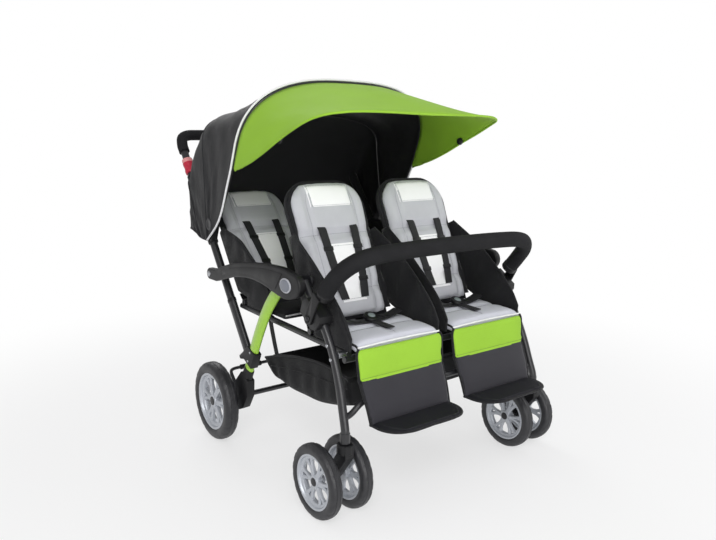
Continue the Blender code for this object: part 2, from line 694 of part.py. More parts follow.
def button_room(side, low):
    return rod("room", (0, *BUMPER_PIVOT), Vector((side, 0, 0)), BUTTON_RADIUS + BORE_CLEARANCE, low,
               SOCKET_OUTER_X + 0.02, "black_plastic", 16)


def bumper_socket(label, side):
    """Block clamped on a front leg, with the seat of the latch button in its outer face."""
    socket = plate("bumper_socket_" + label, SOCKET_OUTLINE, side * SOCKET_INNER_X, side * SOCKET_OUTER_X,
                   "black_plastic")
    cut(socket, leg_room(side))
    cut(socket, button_room(side, SOCKET_OUTER_X - 0.003 - BUTTON_TRAVEL - BORE_CLEARANCE))


def bumper_arm(side):
    """End of the bumper bar: a flat arm beside the socket, with a ledge that closes the foam's end."""
    toward = direction_between(BUMPER_PATH[0], BUMPER_PATH[1])
    across = Vector((-toward.y, toward.x))
    foot = Vector(BUMPER_PATH[0]) + toward * 0.002
    low = SOCKET_OUTER_X + TOUCH_GAP
    high = low + BUMPER_PLATE_THICKNESS
    outline = [tuple(foot + across * 0.015), tuple(foot - across * 0.015)] + arc(BUMPER_PIVOT, 0.017, 40, -140, 7)
    arm = plate("bumper_arm", outline, side * low, side * high, "black_plastic")
    ledge = [tuple(foot + across * 0.0135 + toward * 0.002), tuple(foot - across * 0.0135 + toward * 0.002),
             tuple(foot - across * 0.012 - toward * 0.007), tuple(foot + across * 0.012 - toward * 0.007)]
    join(arm, plate("ledge", ledge, side * (BUMPER_ARM_X - 0.010), side * (high - 0.001), "black_plastic"))
    cut(arm, button_room(side, low - 0.01))
    return arm


# Seats

def seat_frame_vectors(row):
    """Hinge, direction up the back and direction out of its front face, in the side view."""
    lean = ROWS[row]["lean"]
    return Vector(ROWS[row]["hinge"]), Vector((sin(lean), cos(lean))), Vector((-cos(lean), sin(lean)))


def rounded_top(width_low, width_high, start, end, radius, count=5):
    """Half outline (x, s) of a back: sides widen upward and the top corners are round."""
    corner = [(width_high - radius + radius * cos(radians(a)), end - radius + radius * sin(radians(a)))
              for a in [90 * i / (count - 1) for i in range(count)]]
    return [(width_low, start)] + corner


def panel_on_back(name, row, x_centre, half_outline, n_low, n_high, finish):
    """A flat board in the plane of a seat back, from its half outline."""
    hinge, up, out = seat_frame_vectors(row)
    outline = half_outline + [(-x, s) for x, s in reversed(half_outline)]
    place = Matrix(((1, 0, 0, x_centre), (0, up.x, out.x, hinge.x), (0, up.y, out.y, hinge.y), (0, 0, 0, 1)))
    return flat(name, outline, place, n_low, n_high, finish)


def cushion(name, width_at, places, top, low, finish, columns=8, rows=12):
    """A stuffed pad on a grid: width_at(v) gives its half width, places(v) its line, top(u, v) its height.

    places(v) returns the point and the normal (y, z) of the flat side.
    """
    bm = bmesh.new()
    grids = []
    for face in (1, 0):
        grid = []
        for j in range(rows + 1):
            v = j / rows
            (py, pz), (ny, nz) = places(v)
            line = []
            for i in range(columns + 1):
                u = 2 * i / columns - 1
                height = top(u, v) if face else low
                x_offset = width_at(v) * u
                line.append(bm.verts.new((x_offset, py + ny * height, pz + nz * height)))
            grid.append(line)
        grids.append(grid)
    for face, grid in enumerate(grids):
        for j in range(rows):
            for i in range(columns):
                quad = (grid[j][i], grid[j][i + 1], grid[j + 1][i + 1], grid[j + 1][i])
                bm.faces.new(quad if face else quad[::-1])
    edge = [(0, i) for i in range(columns)] + [(j, columns) for j in range(rows)]
    edge += [(rows, i) for i in range(columns, 0, -1)] + [(j, 0) for j in range(rows, 0, -1)]
    for (j, i), (jj, ii) in zip(edge, edge[1:] + edge[:1]):
        bm.faces.new((grids[0][j][i], grids[0][jj][ii], grids[1][jj][ii], grids[1][j][i]))
    return mesh_part(name, bm, finish)


def pillow(u, v, channels_u=(), channels_v=(), edge=0.35):
    """Share of the full thickness: low at the sewn edges and in the channels, full between them."""
    across = (1 - abs(u) ** 5) ** 0.5 if abs(u) < 1 else 0
    along = (1 - abs(2 * v - 1) ** 7) ** 0.5 if 0 < v < 1 else 0
    share = edge + (1 - edge) * across * along
    for place in channels_u:
        share -= 0.22 * max(0, 1 - abs(u - place) / 0.16)
    for place in channels_v:
        share -= 0.30 * max(0, 1 - abs(v - place) / 0.07)
    return max(share, edge * 0.8)


BACK_START = RAIL_RADIUS + TOUCH_GAP
PAD_START = 0.018
PAD_END = BACK_LENGTH - BINDING_WIDTH


def back(row, label, x):
    """A hinged seat back: a board with two knuckles round the hinge tube, and the quilted pad on it."""
    hinge, up, out = seat_frame_vectors(row)
    name = "%s_%s" % (row, label)
    outline = rounded_top(BACK_HALF_WIDTH_BOTTOM + BINDING_WIDTH, BACK_HALF_WIDTH_TOP + BINDING_WIDTH,
                          BACK_START + 0.003, BACK_LENGTH, 0.088)
    board = panel_on_back("back_shell_" + name, row, x, outline, -BACK_BOARD_THICKNESS, 0, "charcoal_cloth")
    for side in (1, -1):
        middle = (x + side * 0.090, hinge.x, hinge.y)
        join(board, rod("knuckle", middle, "X", 0.0138, -0.012, 0.012, "charcoal_cloth", 16))
    cut(board, rod("bore", (x, hinge.x, hinge.y), "X", 0.0098, -0.14, 0.14, "charcoal_cloth", 16))

    def width_at(v):
        s = PAD_START + (PAD_END - PAD_START) * v
        width = BACK_HALF_WIDTH_BOTTOM + (BACK_HALF_WIDTH_TOP - BACK_HALF_WIDTH_BOTTOM) * v
        over = s - (PAD_END - 0.080)
        if over > 0:
            width -= 0.080 - (0.080 ** 2 - min(over, 0.0797) ** 2) ** 0.5
        return width

    def places(v):
        share = 1 - (1 - v) ** 1.25
        place = hinge + up * (PAD_START + (PAD_END - PAD_START) * share)
        return place, out

    def top(u, v):
        share = 1 - (1 - v) ** 1.25
        return BACK_PAD_THICKNESS * pillow(u, share, (), (0.17, 0.60), 0.42)

    pad = cushion("back_pad_" + name, lambda v: width_at(1 - (1 - v) ** 1.25), places, top, TOUCH_GAP, "grey_cloth")
    pad.data.transform(Matrix.Translation((x, 0, 0)))
    shoulder_straps(pad, row, x)


SEAT_PADS = {"front": (-0.4316, -0.2505), "rear": (-0.087, 0.1245)}


def seat_pad(row, label, x):
    """A seat pad on the rails, rounded over at the front."""
    front_y, rear_y = SEAT_PADS[row]

    def places(v):
        y = front_y + (rear_y - front_y) * v
        return (y, rail_z(y) + RAIL_RADIUS + 2 * TOUCH_GAP), (0, 1)

    def top(u, v):
        return (SEAT_PAD_THICKNESS + 0.004) * pillow(u, v, (), (0.5,), 0.5)

    pad = cushion("seat_pad_%s_%s" % (row, label), lambda v: SEAT_HALF_WIDTH - 0.004 * (1 - v) ** 3, places, top, 0,
                  "charcoal_cloth", 8, 8)
    pad.data.transform(Matrix.Translation((x, 0, 0)))
    for away in (1, -1):
        join(pad, side_panel(row, x + away * SEAT_HALF_WIDTH))


WING = [(0.0155, -0.009), (0.180, -0.014), (0.184, 0.014), (0.160, 0.054), (0.118, 0.099), (0.066, 0.144), (0.010, 0.187)]


def side_panel(row, x):
    """A cloth wing beside a seat, from the seat's front up to the side of the back."""
    hinge, up, out = seat_frame_vectors(row)
    turn = ROWS[row]["lean"] - ROWS["front"]["lean"]
    reach = 1.0 if row == "front" else 0.92
    top_s = 0.270
    outline = []
    for dy, dz in WING:
        point = Vector((-dy * reach, dz))
        if dz > 0.02:
            point = Matrix.Rotation(-turn * 0.6, 2) @ point
        outline.append(tuple(hinge + point + Vector((0, 0.006))))
    outline.append(tuple(hinge + up * top_s + out * 0.020))
    outline.append(tuple(hinge + up * top_s - out * 0.012))
    outline.append(tuple(hinge + up * 0.05 - out * 0.016))
    outline.append(tuple(hinge + Vector((-0.0155, 0.018))))
    return plate("wing", outline, x - SIDE_PANEL_THICKNESS / 2, x + SIDE_PANEL_THICKNESS / 2,
                 "charcoal_cloth")


def strap(name, points, half_width, thickness, x_axis_width=True):
    """A flat strap along points (x, y, z) whose width lies across the stroller."""
    bm = bmesh.new()
    rings = []
    for index, point in enumerate(points):
        before = Vector(points[max(index - 1, 0)])
        after = Vector(points[min(index + 1, len(points) - 1)])
        along = (after - before).normalized()
        across = Vector((1, 0, 0)) if x_axis_width else Vector((0, 1, 0))
        across = (across - along * across.dot(along)).normalized()
        out = along.cross(across).normalized()
        middle = Vector(point)
        ring = [middle + across * half_width * a + out * thickness / 2 * b
                for a, b in ((1, 1), (-1, 1), (-1, -1), (1, -1))]
        rings.append([bm.verts.new(corner) for corner in ring])
    for low, high in zip(rings, rings[1:]):
        for i in range(4):
            bm.faces.new((low[i], low[(i + 1) % 4], high[(i + 1) % 4], high[i]))
    bm.faces.new(rings[0][::-1])
    bm.faces.new(rings[-1])
    return mesh_part(name, bm, "webbing", False)


def shoulder_straps(pad, row, x):
    """Two shoulder straps half sunk in the back pad, from under the pillow down to the hips."""
    hinge, up, out = seat_frame_vectors(row)
    for side in (1, -1):
        points = []
        for s, dx in ((0.245, 0.042), (0.12, 0.038), (0.065, 0.031)):
            place = hinge + up * s + out * (BACK_PAD_THICKNESS - 0.001)
            points.append((x + side * dx, place.x, place.y))
        join(pad, strap("strap", points, STRAP_WIDTH / 2, 0.006))


def harness(row, label, x):
    """A lap belt on the seat pad with its round buckle."""
    front_y, rear_y = SEAT_PADS[row]
    y = rear_y - 0.062
    low = rail_z(y) + RAIL_RADIUS + SEAT_PAD_THICKNESS + 0.0052 + 2 * TOUCH_GAP
    middle = low + STRAP_THICKNESS / 2
    half = SEAT_HALF_WIDTH - 0.040
    belt = strap("harness_%s_%s" % (row, label), [(x - half, y, middle), (x + half, y, middle)], STRAP_WIDTH / 2,
                 STRAP_THICKNESS, False)
    join(belt, rod("buckle", (x, y, low), "Z", 0.021, 0.0006, 0.012, "webbing", 16))


CALF_PATH = [(-0.4400, 0.4340), (-0.4425, 0.400), (-0.450, 0.348), (-0.473, 0.292), (-0.4872, 0.2465)]
CALF_THICKNESS = 0.008


def calf_panel(label, x):
    """The cloth covered board that hangs in front of the legs."""
    bm = bmesh.new()
    rings = []
    for index, (y, z) in enumerate(CALF_PATH):
        before = Vector(CALF_PATH[max(index - 1, 0)])
        after = Vector(CALF_PATH[min(index + 1, len(CALF_PATH) - 1)])
        along = (after - before).normalized()
        out = Vector((along.y, -along.x))
        if out.x > 0:
            out = -out
        half = 0.147 - 0.012 * index / (len(CALF_PATH) - 1)
        back_point = Vector((y, z)) - out * CALF_THICKNESS
        ring = [(x + half, y, z), (x - half, y, z), (x - half, back_point.x, back_point.y),
                (x + half, back_point.x, back_point.y)]
        rings.append([bm.verts.new(corner) for corner in ring])
    for low, high in zip(rings, rings[1:]):
        for i in range(4):
            bm.faces.new((low[i], low[(i + 1) % 4], high[(i + 1) % 4], high[i]))
    bm.faces.new(rings[0][::-1])
    bm.faces.new(rings[-1])
    return mesh_part("leg_rest_" + label, bm, "green_cloth")


FOOTREST_REAR_Y = -0.476


def footrest(x):
    """A padded tray in front of the calf board, with round front corners."""
    half = SEAT_HALF_WIDTH - 0.014
    front = -LENGTH / 2
    radius = min(0.070, 0.8 * (FOOTREST_REAR_Y - front))
    outline = [(half, FOOTREST_REAR_Y)]
    for index in range(6):
        angle = radians(90 * index / 5)
        outline.append((half - radius + radius * cos(angle), front + radius - radius * sin(angle)))
    outline += [(-a, b) for a, b in reversed(outline)]
    place = Matrix.Translation((x, 0, 0.2535))
    return flat("footrest", outline, place, -0.012, 0, "black_cloth")


def build_seats():
    for row in ROWS:
        for label, side in SIDES.items():
            x = side * SEAT_X
            back(row, label, x)
            seat_pad(row, label, x)
            harness(row, label, x)
    for label, side in SIDES.items():
        join(calf_panel(label, side * SEAT_X), footrest(side * SEAT_X))


# Canopy

def arch(foot, spring, top, half_width, power, side_points=3, arch_points=6, side_path=None):
    """Half of a canopy station: up the side from its foot, then over to the top in the middle."""
    side = side_path or [tuple(Vector(foot).lerp(Vector(spring), i / side_points)) for i in range(side_points)]
    half = [(half_width, y, z) for y, z in side]
    for index in range(arch_points + 1):
        angle = pi / 2 * index / arch_points
        x = half_width * max(cos(angle), 0) ** (2 / power)
        rise = sin(angle) ** (2 / power)
        place = Vector(spring).lerp(Vector(top), rise)
        half.append((x if index < arch_points else 0, place.x, place.y))
    return half


def full(half):
    return half + [(-x, y, z) for x, y, z in reversed(half[:-1])]


def cloth_sheet(name, lines, thickness, finish, outward):
    """A closed sheet over lines of points: the given face and one moved in by the thickness."""
    rows, columns = len(lines), len(lines[0])
    bm = bmesh.new()
    outer = [[bm.verts.new(p) for p in line] for line in lines]
    for j in range(rows - 1):
        for i in range(columns - 1):
            bm.faces.new((outer[j][i], outer[j][i + 1], outer[j + 1][i + 1], outer[j + 1][i]))
    bm.normal_update()
    for line in outer:
        for vert in line:
            vert.normal_update()
    middle = outer[rows // 2][columns // 2]
    sign = 1 if middle.normal.dot(Vector(outward)) > 0 else -1
    inner = [[bm.verts.new(v.co - v.normal * thickness * sign) for v in line] for line in outer]
    for j in range(rows - 1):
        for i in range(columns - 1):
            bm.faces.new((inner[j][i], inner[j + 1][i], inner[j + 1][i + 1], inner[j][i + 1]))
    edge = [(0, i) for i in range(columns - 1)] + [(j, columns - 1) for j in range(rows - 1)]
    edge += [(rows - 1, i) for i in range(columns - 1, 0, -1)] + [(j, 0) for j in range(rows - 1, 0, -1)]
    for (j, i), (jj, ii) in zip(edge, edge[1:] + edge[:1]):
        bm.faces.new((outer[j][i], inner[j][i], inner[jj][ii], outer[jj][ii]))
    return mesh_part(name, bm, finish)


BOW_SIDE = [(0.302, 0.632), (0.225, 0.690), (0.186, 0.742), (0.150, 0.812), (0.124, 0.860)]
BOW_SPRING = (0.106, 0.900)
BOW_TOP = (0.0137, 1.130)
BOW_POWER = 2.8


def hood_lines():
    """Canopy stations from the front bow over the rear bow to the lower edge at the back."""
    width = CANOPY_HALF_WIDTH
    lines = [arch(None, BOW_SPRING, BOW_TOP, width, BOW_POWER, 5, 6, BOW_SIDE)]
    spans = [((0.303, 0.632), (0.170, 0.925), (0.105, 1.098), 2.85), ((0.304, 0.632), (0.245, 0.935), (0.210, 1.066), 2.95),
             ((0.306, 0.631), (0.314, 0.930), (0.312, 1.045), 3.2), ((0.330, 0.632), (0.392, 0.848), (0.412, 0.945), 4.0),
             ((0.360, 0.636), (0.430, 0.785), (0.455, 0.845), 4.5), ((0.380, 0.645), (0.424, 0.715), (0.462, 0.750), 4.5),
             ((0.397, 0.650), (0.415, 0.655), (0.462, 0.662), 4.5)]
    for foot, spring, top, power in spans:
        lines.append(arch(foot, spring, top, width, power, 5, 6))
    return [full(line) for line in lines]


def rear_bow_points():
    x = CANOPY_HALF_WIDTH - CLOTH_THICKNESS - 3 * BOW_RADIUS + 0.0002
    half = arch(None, (0.312, 0.915), (0.310, 1.0385), x, 3.2, 0, 5, [CANOPY_PIVOT, (0.288, 0.740), (0.302, 0.830)])
    return full(half)


def canopy_clamp(side):
    """A clamp round the handle tube with an arm that carries both bows' pivot."""
    along = Vector((0, HANDLE_DIRECTION.x, HANDLE_DIRECTION.y))
    foot = Vector(CANOPY_PIVOT) - Vector(HANDLE_FOOT)
    middle = foot.dot(HANDLE_DIRECTION) - 0.020
    y, z = on_handle(middle)
    clamp = rod("clamp", (side * HANDLE_X, y, z), along, 0.0165, -0.017, 0.017, "black_plastic", 16)
    low = HANDLE_X - 0.006
    high = CANOPY_HALF_WIDTH - CLOTH_THICKNESS - 2 * BOW_RADIUS - 2 * TOUCH_GAP
    normal = Vector((-HANDLE_DIRECTION.y, HANDLE_DIRECTION.x))
    base = Vector((y, z))
    outline = [tuple(base - HANDLE_DIRECTION * 0.015), tuple(base - HANDLE_DIRECTION * 0.015 + normal * 0.022)]
    outline += arc(CANOPY_PIVOT, 0.010, 215, 55, 6)
    outline += [tuple(base + HANDLE_DIRECTION * 0.015 + normal * 0.016), tuple(base + HANDLE_DIRECTION * 0.015)]
    join(clamp, plate("arm", outline, side * low, side * high, "black_plastic"))
    pin = rod("pin", (0, *CANOPY_PIVOT), Vector((side, 0, 0)), 0.0028, low + 0.002,
              CANOPY_HALF_WIDTH - CLOTH_THICKNESS - TOUCH_GAP, "black_plastic", 12)
    join(clamp, pin)
    cut(clamp, rod("room", (side * HANDLE_X, y, z), along, HANDLE_TUBE_RADIUS + BORE_CLEARANCE, -0.03, 0.03,
                   "black_plastic", 16))
    return clamp


def build_canopy():
    lines = hood_lines()
    cover = cloth_sheet("canopy_cover", lines, CLOTH_THICKNESS, "black_cloth", (0, 0, 1))
    along = Vector((0, HANDLE_DIRECTION.x, HANDLE_DIRECTION.y))
    for side in SIDES.values():
        y, z = on_handle(0.600)
        cut(cover, rod("hole", (side * HANDLE_X, y, z), along, 0.0172, -0.08, 0.12, "black_cloth", 12))
    bow_x = CANOPY_HALF_WIDTH - CLOTH_THICKNESS - BOW_RADIUS - TOUCH_GAP
    inset = 0.0
    half = arch(None, (BOW_SPRING[0] - inset, BOW_SPRING[1]), (BOW_TOP[0] - 0.002, BOW_TOP[1] - 0.0075), bow_x, BOW_POWER, 0, 6,
                [(0.225, 0.715), (0.186, 0.752), (0.150, 0.815), (0.124, 0.861)])
    points = full([(bow_x, CANOPY_PIVOT[0], CANOPY_PIVOT[1] + 0.0)] + half)
    bow = as_mesh(tube("canopy_front_bow", points, BOW_RADIUS - 0.0006, "frame_black", 1, 1))
    for side in SIDES.values():
        join(bow, rod("eye", (0, *CANOPY_PIVOT), Vector((side, 0, 0)), 0.008, bow_x - BOW_RADIUS + 0.0006,
                      bow_x + BOW_RADIUS - 0.0006, "frame_black", 14))
    cut(bow, rod("bore", (0, *CANOPY_PIVOT), "X", 0.0032, -bow_x - 0.02, bow_x + 0.02, "frame_black", 12))
    rear = as_mesh(tube("canopy_rear_bow", rear_bow_points(), BOW_RADIUS - 0.0006, "frame_black", 1, 1))
    for side in SIDES.values():
        join(rear, canopy_clamp(side))
    build_visor()


VISOR_RIM_SIDE = [(0.990, 0.1080, 0.868), (0.993, 0.040, 0.879), (0.993, -0.045, 0.908), (0.986, -0.130, 0.944),
                  (0.976, -0.200, 0.972), (0.945, -0.262, 0.996)]
VISOR_RIM_FRONT = [(0.883, 0.052, -0.007), (0.750, 0.022, 0.0), (0.594, 0.008, 0.002), (0.396, 0.002, 0.002),
                   (0.198, 0.0, 0.001), (0.0, 0.0, 0.0)]


def build_visor():
    """The visor: a cloth shade from the front bow out to its own rim."""
    width = CANOPY_HALF_WIDTH - CLOTH_THICKNESS - BOW_RADIUS - TOUCH_GAP - 0.0002
    rim_half = [(width * share, y, z) for share, y, z in VISOR_RIM_SIDE]
    rim_half += [(width * share, VISOR_REACH_Y + back, VISOR_FRONT_Z + rise) for share, back, rise in VISOR_RIM_FRONT]
    side = [(0.1152, 0.8685), (0.1106, 0.8785)]
    bow_half = arch(None, (0.1024, 0.8985), (0.0081, 1.1210), width, BOW_POWER, 0, 9, side)
    count = len(rim_half)
    lines = []
    for share in (0.0, 0.25, 0.5, 0.75, 1.0):
        line = []
        for near, far in zip(bow_half[:count], rim_half):
            point = Vector(near).lerp(Vector(far), share)
            bulge = (1 - (2 * share - 1) ** 2) * (0.024 * (1 - near[0] / width) - 0.012)
            point.z += bulge
            line.append(tuple(point))
        lines.append(full(line))
    cloth_sheet("visor", lines, CLOTH_THICKNESS, "green_cloth", (0, 0, 1))


# Basket

def basket_profile():
    """Half outlines (y, z) of the basket: the floor line and the rim line from front to back."""
    floor = [(-0.366, 0.255), (-0.258, 0.224), (-0.160, 0.213), (-0.060, 0.212), (-0.003, 0.222)]
    rim_line = [(-0.372, 0.336), (-0.276, 0.345), (-0.179, 0.340), (-0.050, 0.318), (0.060, 0.285)]
    return floor, rim_line


def build_basket():
    """An open cloth tub under the seats, hung from the rails by four straps."""
    floor, rim_line = basket_profile()
    half = BASKET_HALF_WIDTH

    def shell(inset):
        lines = []
        last = len(floor) - 1
        for index, ((fy, fz), (ry, rz)) in enumerate(zip(floor, rim_line)):
            shift = inset if index == 0 else (-inset if index == last else 0)
            x_low, x_mid = half * 0.90 - inset, half * 0.975 - inset
            mid_y, mid_z = fy + (ry - fy) * 0.30, fz + (rz - fz) * 0.30
            line = [(half - inset, ry + shift, rz), (x_mid, mid_y + shift, mid_z + inset * 0.4),
                    (x_low, fy + shift, fz + inset), (x_low * 0.5, fy + shift, fz + inset - 0.002),
                    (0, fy + shift, fz + inset - 0.003)]
            lines.append(full(line))
        first, final = lines[0], lines[-1]
        front = [(x * 0.985, rim_line[0][0] + inset - 0.004, rim_line[0][1]) for x, y, z in first]
        rear = [(x * 0.985, rim_line[-1][0] - inset + 0.006, rim_line[-1][1]) for x, y, z in final]
        return [front] + lines + [rear]

    bm = bmesh.new()
    grids = [[[bm.verts.new(p) for p in line] for line in shell(inset)] for inset in (0, BASKET_WALL)]
    rows, columns = len(grids[0]), len(grids[0][0])
    for face, grid in enumerate(grids):
        for j in range(rows - 1):
            for i in range(columns - 1):
                quad = (grid[j][i], grid[j][i + 1], grid[j + 1][i + 1], grid[j + 1][i])
                bm.faces.new(quad if face else quad[::-1])
    edge = [(0, i) for i in range(columns - 1)] + [(j, columns - 1) for j in range(rows - 1)]
    edge += [(rows - 1, i) for i in range(columns - 1, 0, -1)] + [(j, 0) for j in range(rows - 1, 0, -1)]
    for (j, i), (jj, ii) in zip(edge, edge[1:] + edge[:1]):
        bm.faces.new((grids[0][j][i], grids[0][jj][ii], grids[1][jj][ii], grids[1][j][i]))
    basket = mesh_part("basket", bm, "black_cloth")
    for side in SIDES.values():
        for y, rim_z in ((-0.325, 0.3400), (-0.010, 0.3070)):
            rail_low = rail_z(y) - RAIL_RADIUS - TOUCH_GAP
            points = [(side * (half - 0.0015), y, rim_z - 0.014), (side * (RAIL_X - 0.002), y, rail_low - 0.0006)]
            join(basket, strap("strap", points, 0.012, STRAP_THICKNESS, False))


build_front_frame()
build_seat_frame()
build_sides()
build_rear_frame()
rear_wheels()
build_casters()
build_handle()
build_bumper()
build_seats()
build_canopy()
build_basket()
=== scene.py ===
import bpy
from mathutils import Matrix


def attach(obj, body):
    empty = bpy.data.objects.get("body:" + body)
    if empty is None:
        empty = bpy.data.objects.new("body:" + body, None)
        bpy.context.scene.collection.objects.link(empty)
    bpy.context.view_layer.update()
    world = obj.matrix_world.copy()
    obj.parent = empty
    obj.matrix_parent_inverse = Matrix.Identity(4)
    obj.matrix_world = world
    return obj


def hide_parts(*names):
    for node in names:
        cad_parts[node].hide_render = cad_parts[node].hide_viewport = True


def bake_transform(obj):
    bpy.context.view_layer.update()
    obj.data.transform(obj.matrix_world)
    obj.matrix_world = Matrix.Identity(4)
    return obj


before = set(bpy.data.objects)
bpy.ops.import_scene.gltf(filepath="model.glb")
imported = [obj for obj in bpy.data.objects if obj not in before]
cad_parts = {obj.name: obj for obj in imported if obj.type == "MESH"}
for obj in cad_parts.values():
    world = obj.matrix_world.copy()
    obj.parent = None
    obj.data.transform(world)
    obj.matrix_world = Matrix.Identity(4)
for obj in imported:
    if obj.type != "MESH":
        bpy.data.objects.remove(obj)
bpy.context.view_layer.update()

from math import cos, hypot, pi, radians, sin, sqrt

import bmesh
import bpy
from mathutils import Matrix, Vector
from mathutils.bvhtree import BVHTree

# Camera, floor and light of the photograph
# A pale floor that fades to white, a camera at the photograph's angle,
# and soft lamps at a plain level from the front left, the right and behind.
scene = bpy.context.scene
scene.view_settings.view_transform = "Standard"
CAMERA_PLACE = Vector((-1.2907, -1.7327, 0.928))
CAMERA_AZIMUTH, CAMERA_TILT, CAMERA_ROLL = radians(-37.1673), radians(10.2269), radians(0.1768)
CAMERA_LENS, CAMERA_SENSOR = 34.20, 36.0
SIDEWAYS, FORWARD, UPWARD = Vector((1, 0, 0)), Vector((0, 1, 0)), Vector((0, 0, 1))
camera = bpy.data.objects.new("camera", bpy.data.cameras.new("camera"))
camera.data.sensor_width, camera.data.lens = CAMERA_SENSOR, CAMERA_LENS
scene.collection.objects.link(camera)
scene.camera = camera
back = Vector((sin(CAMERA_AZIMUTH) * cos(CAMERA_TILT), -cos(CAMERA_AZIMUTH) * cos(CAMERA_TILT),
               sin(CAMERA_TILT)))
level = (-back).cross(UPWARD).normalized()
upright = level.cross(-back)
right = level * cos(CAMERA_ROLL) + upright * sin(CAMERA_ROLL)
up = upright * cos(CAMERA_ROLL) - level * sin(CAMERA_ROLL)
camera.matrix_world = Matrix.Translation(CAMERA_PLACE) @ Matrix((right, up, back)).transposed().to_4x4()


class Socket:
    """An output of a shader node. Arithmetic on it adds Math nodes."""

    def __init__(self, finish, out):
        self.finish = finish
        self.out = out

    def maths(self, operation, *values):
        return self.finish.node("ShaderNodeMath", {"operation": operation}, values)

    def __add__(self, other):
        return self.maths("ADD", self, other)

    def __radd__(self, other):
        return self.maths("ADD", other, self)

    def __sub__(self, other):
        return self.maths("SUBTRACT", self, other)

    def __rsub__(self, other):
        return self.maths("SUBTRACT", other, self)

    def __mul__(self, other):
        return self.maths("MULTIPLY", self, other)

    def __rmul__(self, other):
        return self.maths("MULTIPLY", other, self)

    def sine(self):
        return self.maths("SINE", self)

    def clamp(self, low=0.0, high=1.0):
        return self.finish.node("ShaderNodeClamp", {}, (self, low, high))

    def between(self, start, end):
        """0 below start, 1 above end, smooth between them."""
        settings = {"interpolation_type": "SMOOTHSTEP"}
        return self.finish.node("ShaderNodeMapRange", settings, (self, start, end, 0.0, 1.0))


class Finish:
    """One material, built from nodes."""

    def __init__(self, name, surface="ShaderNodeBsdfPrincipled"):
        self.material = bpy.data.materials.new(name)
        self.material.use_nodes = True
        self.tree = self.material.node_tree
        self.tree.nodes.clear()
        self.output = self.tree.nodes.new("ShaderNodeOutputMaterial")
        self.surface = self.tree.nodes.new(surface)
        self.tree.links.new(self.surface.outputs[0], self.output.inputs["Surface"])

    def feed(self, node, values):
        """Set a node's inputs, or link them where the value comes from another node."""
        pairs = values.items() if isinstance(values, dict) else enumerate(values)
        for key, value in pairs:
            if isinstance(value, Socket):
                self.tree.links.new(value.out, node.inputs[key])
            elif value is not None:
                node.inputs[key].default_value = value

    def node(self, kind, settings=None, values=(), out=0):
        made = self.tree.nodes.new(kind)
        for key, value in (settings or {}).items():
            setattr(made, key, value)
        self.feed(made, values)
        return Socket(self, made.outputs[out])

    def mix(self, factor, low, high):
        """A colour between two colours."""
        return self.node("ShaderNodeMix", {"data_type": "RGBA"}, {0: factor, 6: low, 7: high}, out=2)

    def place(self):
        return self.node("ShaderNodeTexCoord", out="Object")

    def uv(self):
        return self.node("ShaderNodeUVMap", {"uv_map": "cloth"})

    def split(self, vector):
        made = self.node("ShaderNodeSeparateXYZ", {}, (vector,))
        return [Socket(self, made.out.node.outputs[i]) for i in range(3)]

    def noise(self, vector, scale, detail=2.0, roughness=0.5):
        values = {"Vector": vector, "Scale": scale, "Detail": detail, "Roughness": roughness}
        return self.node("ShaderNodeTexNoise", {}, values)

    def made(self, colours, roughness, height, strength, distance, **others):
        """Dress the surface: its colours, roughness and bump, and what else is the same all over."""
        bump = self.node("ShaderNodeBump", {}, {"Strength": strength, "Distance": distance, "Height": height})
        others = {key.replace("_", " "): value for key, value in others.items()}
        self.feed(self.surface, {"Base Color": colours, "Roughness": roughness, "Normal": bump, **others})
        return self.material


def colour(red, green, blue):
    """A colour written as it shows on screen, from 0 to 255, in the linear values of a shader."""
    parts = [c / 255 for c in (red, green, blue)]
    return tuple(c / 12.92 if c <= 0.04045 else ((c + 0.055) / 1.055) ** 2.4 for c in parts) + (1.0,)


FLOOR_FADE_START = 0.9
FLOOR_FADE_END = 2.2
FLOOR_OWN_WHITE = 0.60
FLOOR_HALF_SIZE = 14.0
floor_finish = Finish("floor_paper", "ShaderNodeMixShader")
x_floor, y_floor = floor_finish.split(floor_finish.place())[:2]
square = x_floor * x_floor + y_floor * y_floor
away = square.maths("SQRT", square)
rays = floor_finish.node("ShaderNodeLightPath")
seen = rays.maths("MAXIMUM", rays, Socket(floor_finish, rays.out.node.outputs["Is Glossy Ray"]))
paper = floor_finish.node("ShaderNodeBsdfDiffuse", {}, (colour(243, 243, 244),))
white = floor_finish.node("ShaderNodeEmission", {}, (colour(255, 255, 255), 1.0))
fade = away.between(FLOOR_FADE_START, FLOOR_FADE_END) * (1 - FLOOR_OWN_WHITE) + FLOOR_OWN_WHITE
floor_finish.feed(floor_finish.surface, (fade * seen, paper, white))
floor_mesh = bpy.data.meshes.new("floor")
floor_corners = [(x * FLOOR_HALF_SIZE, y * FLOOR_HALF_SIZE, 0)
                 for x, y in ((-1, -1), (1, -1), (1, 1), (-1, 1))]
floor_mesh.from_pydata(floor_corners, [], [(0, 1, 2, 3)])
floor_mesh.materials.append(floor_finish.material)
floor = bpy.data.objects.new("floor", floor_mesh)
scene.collection.objects.link(floor)

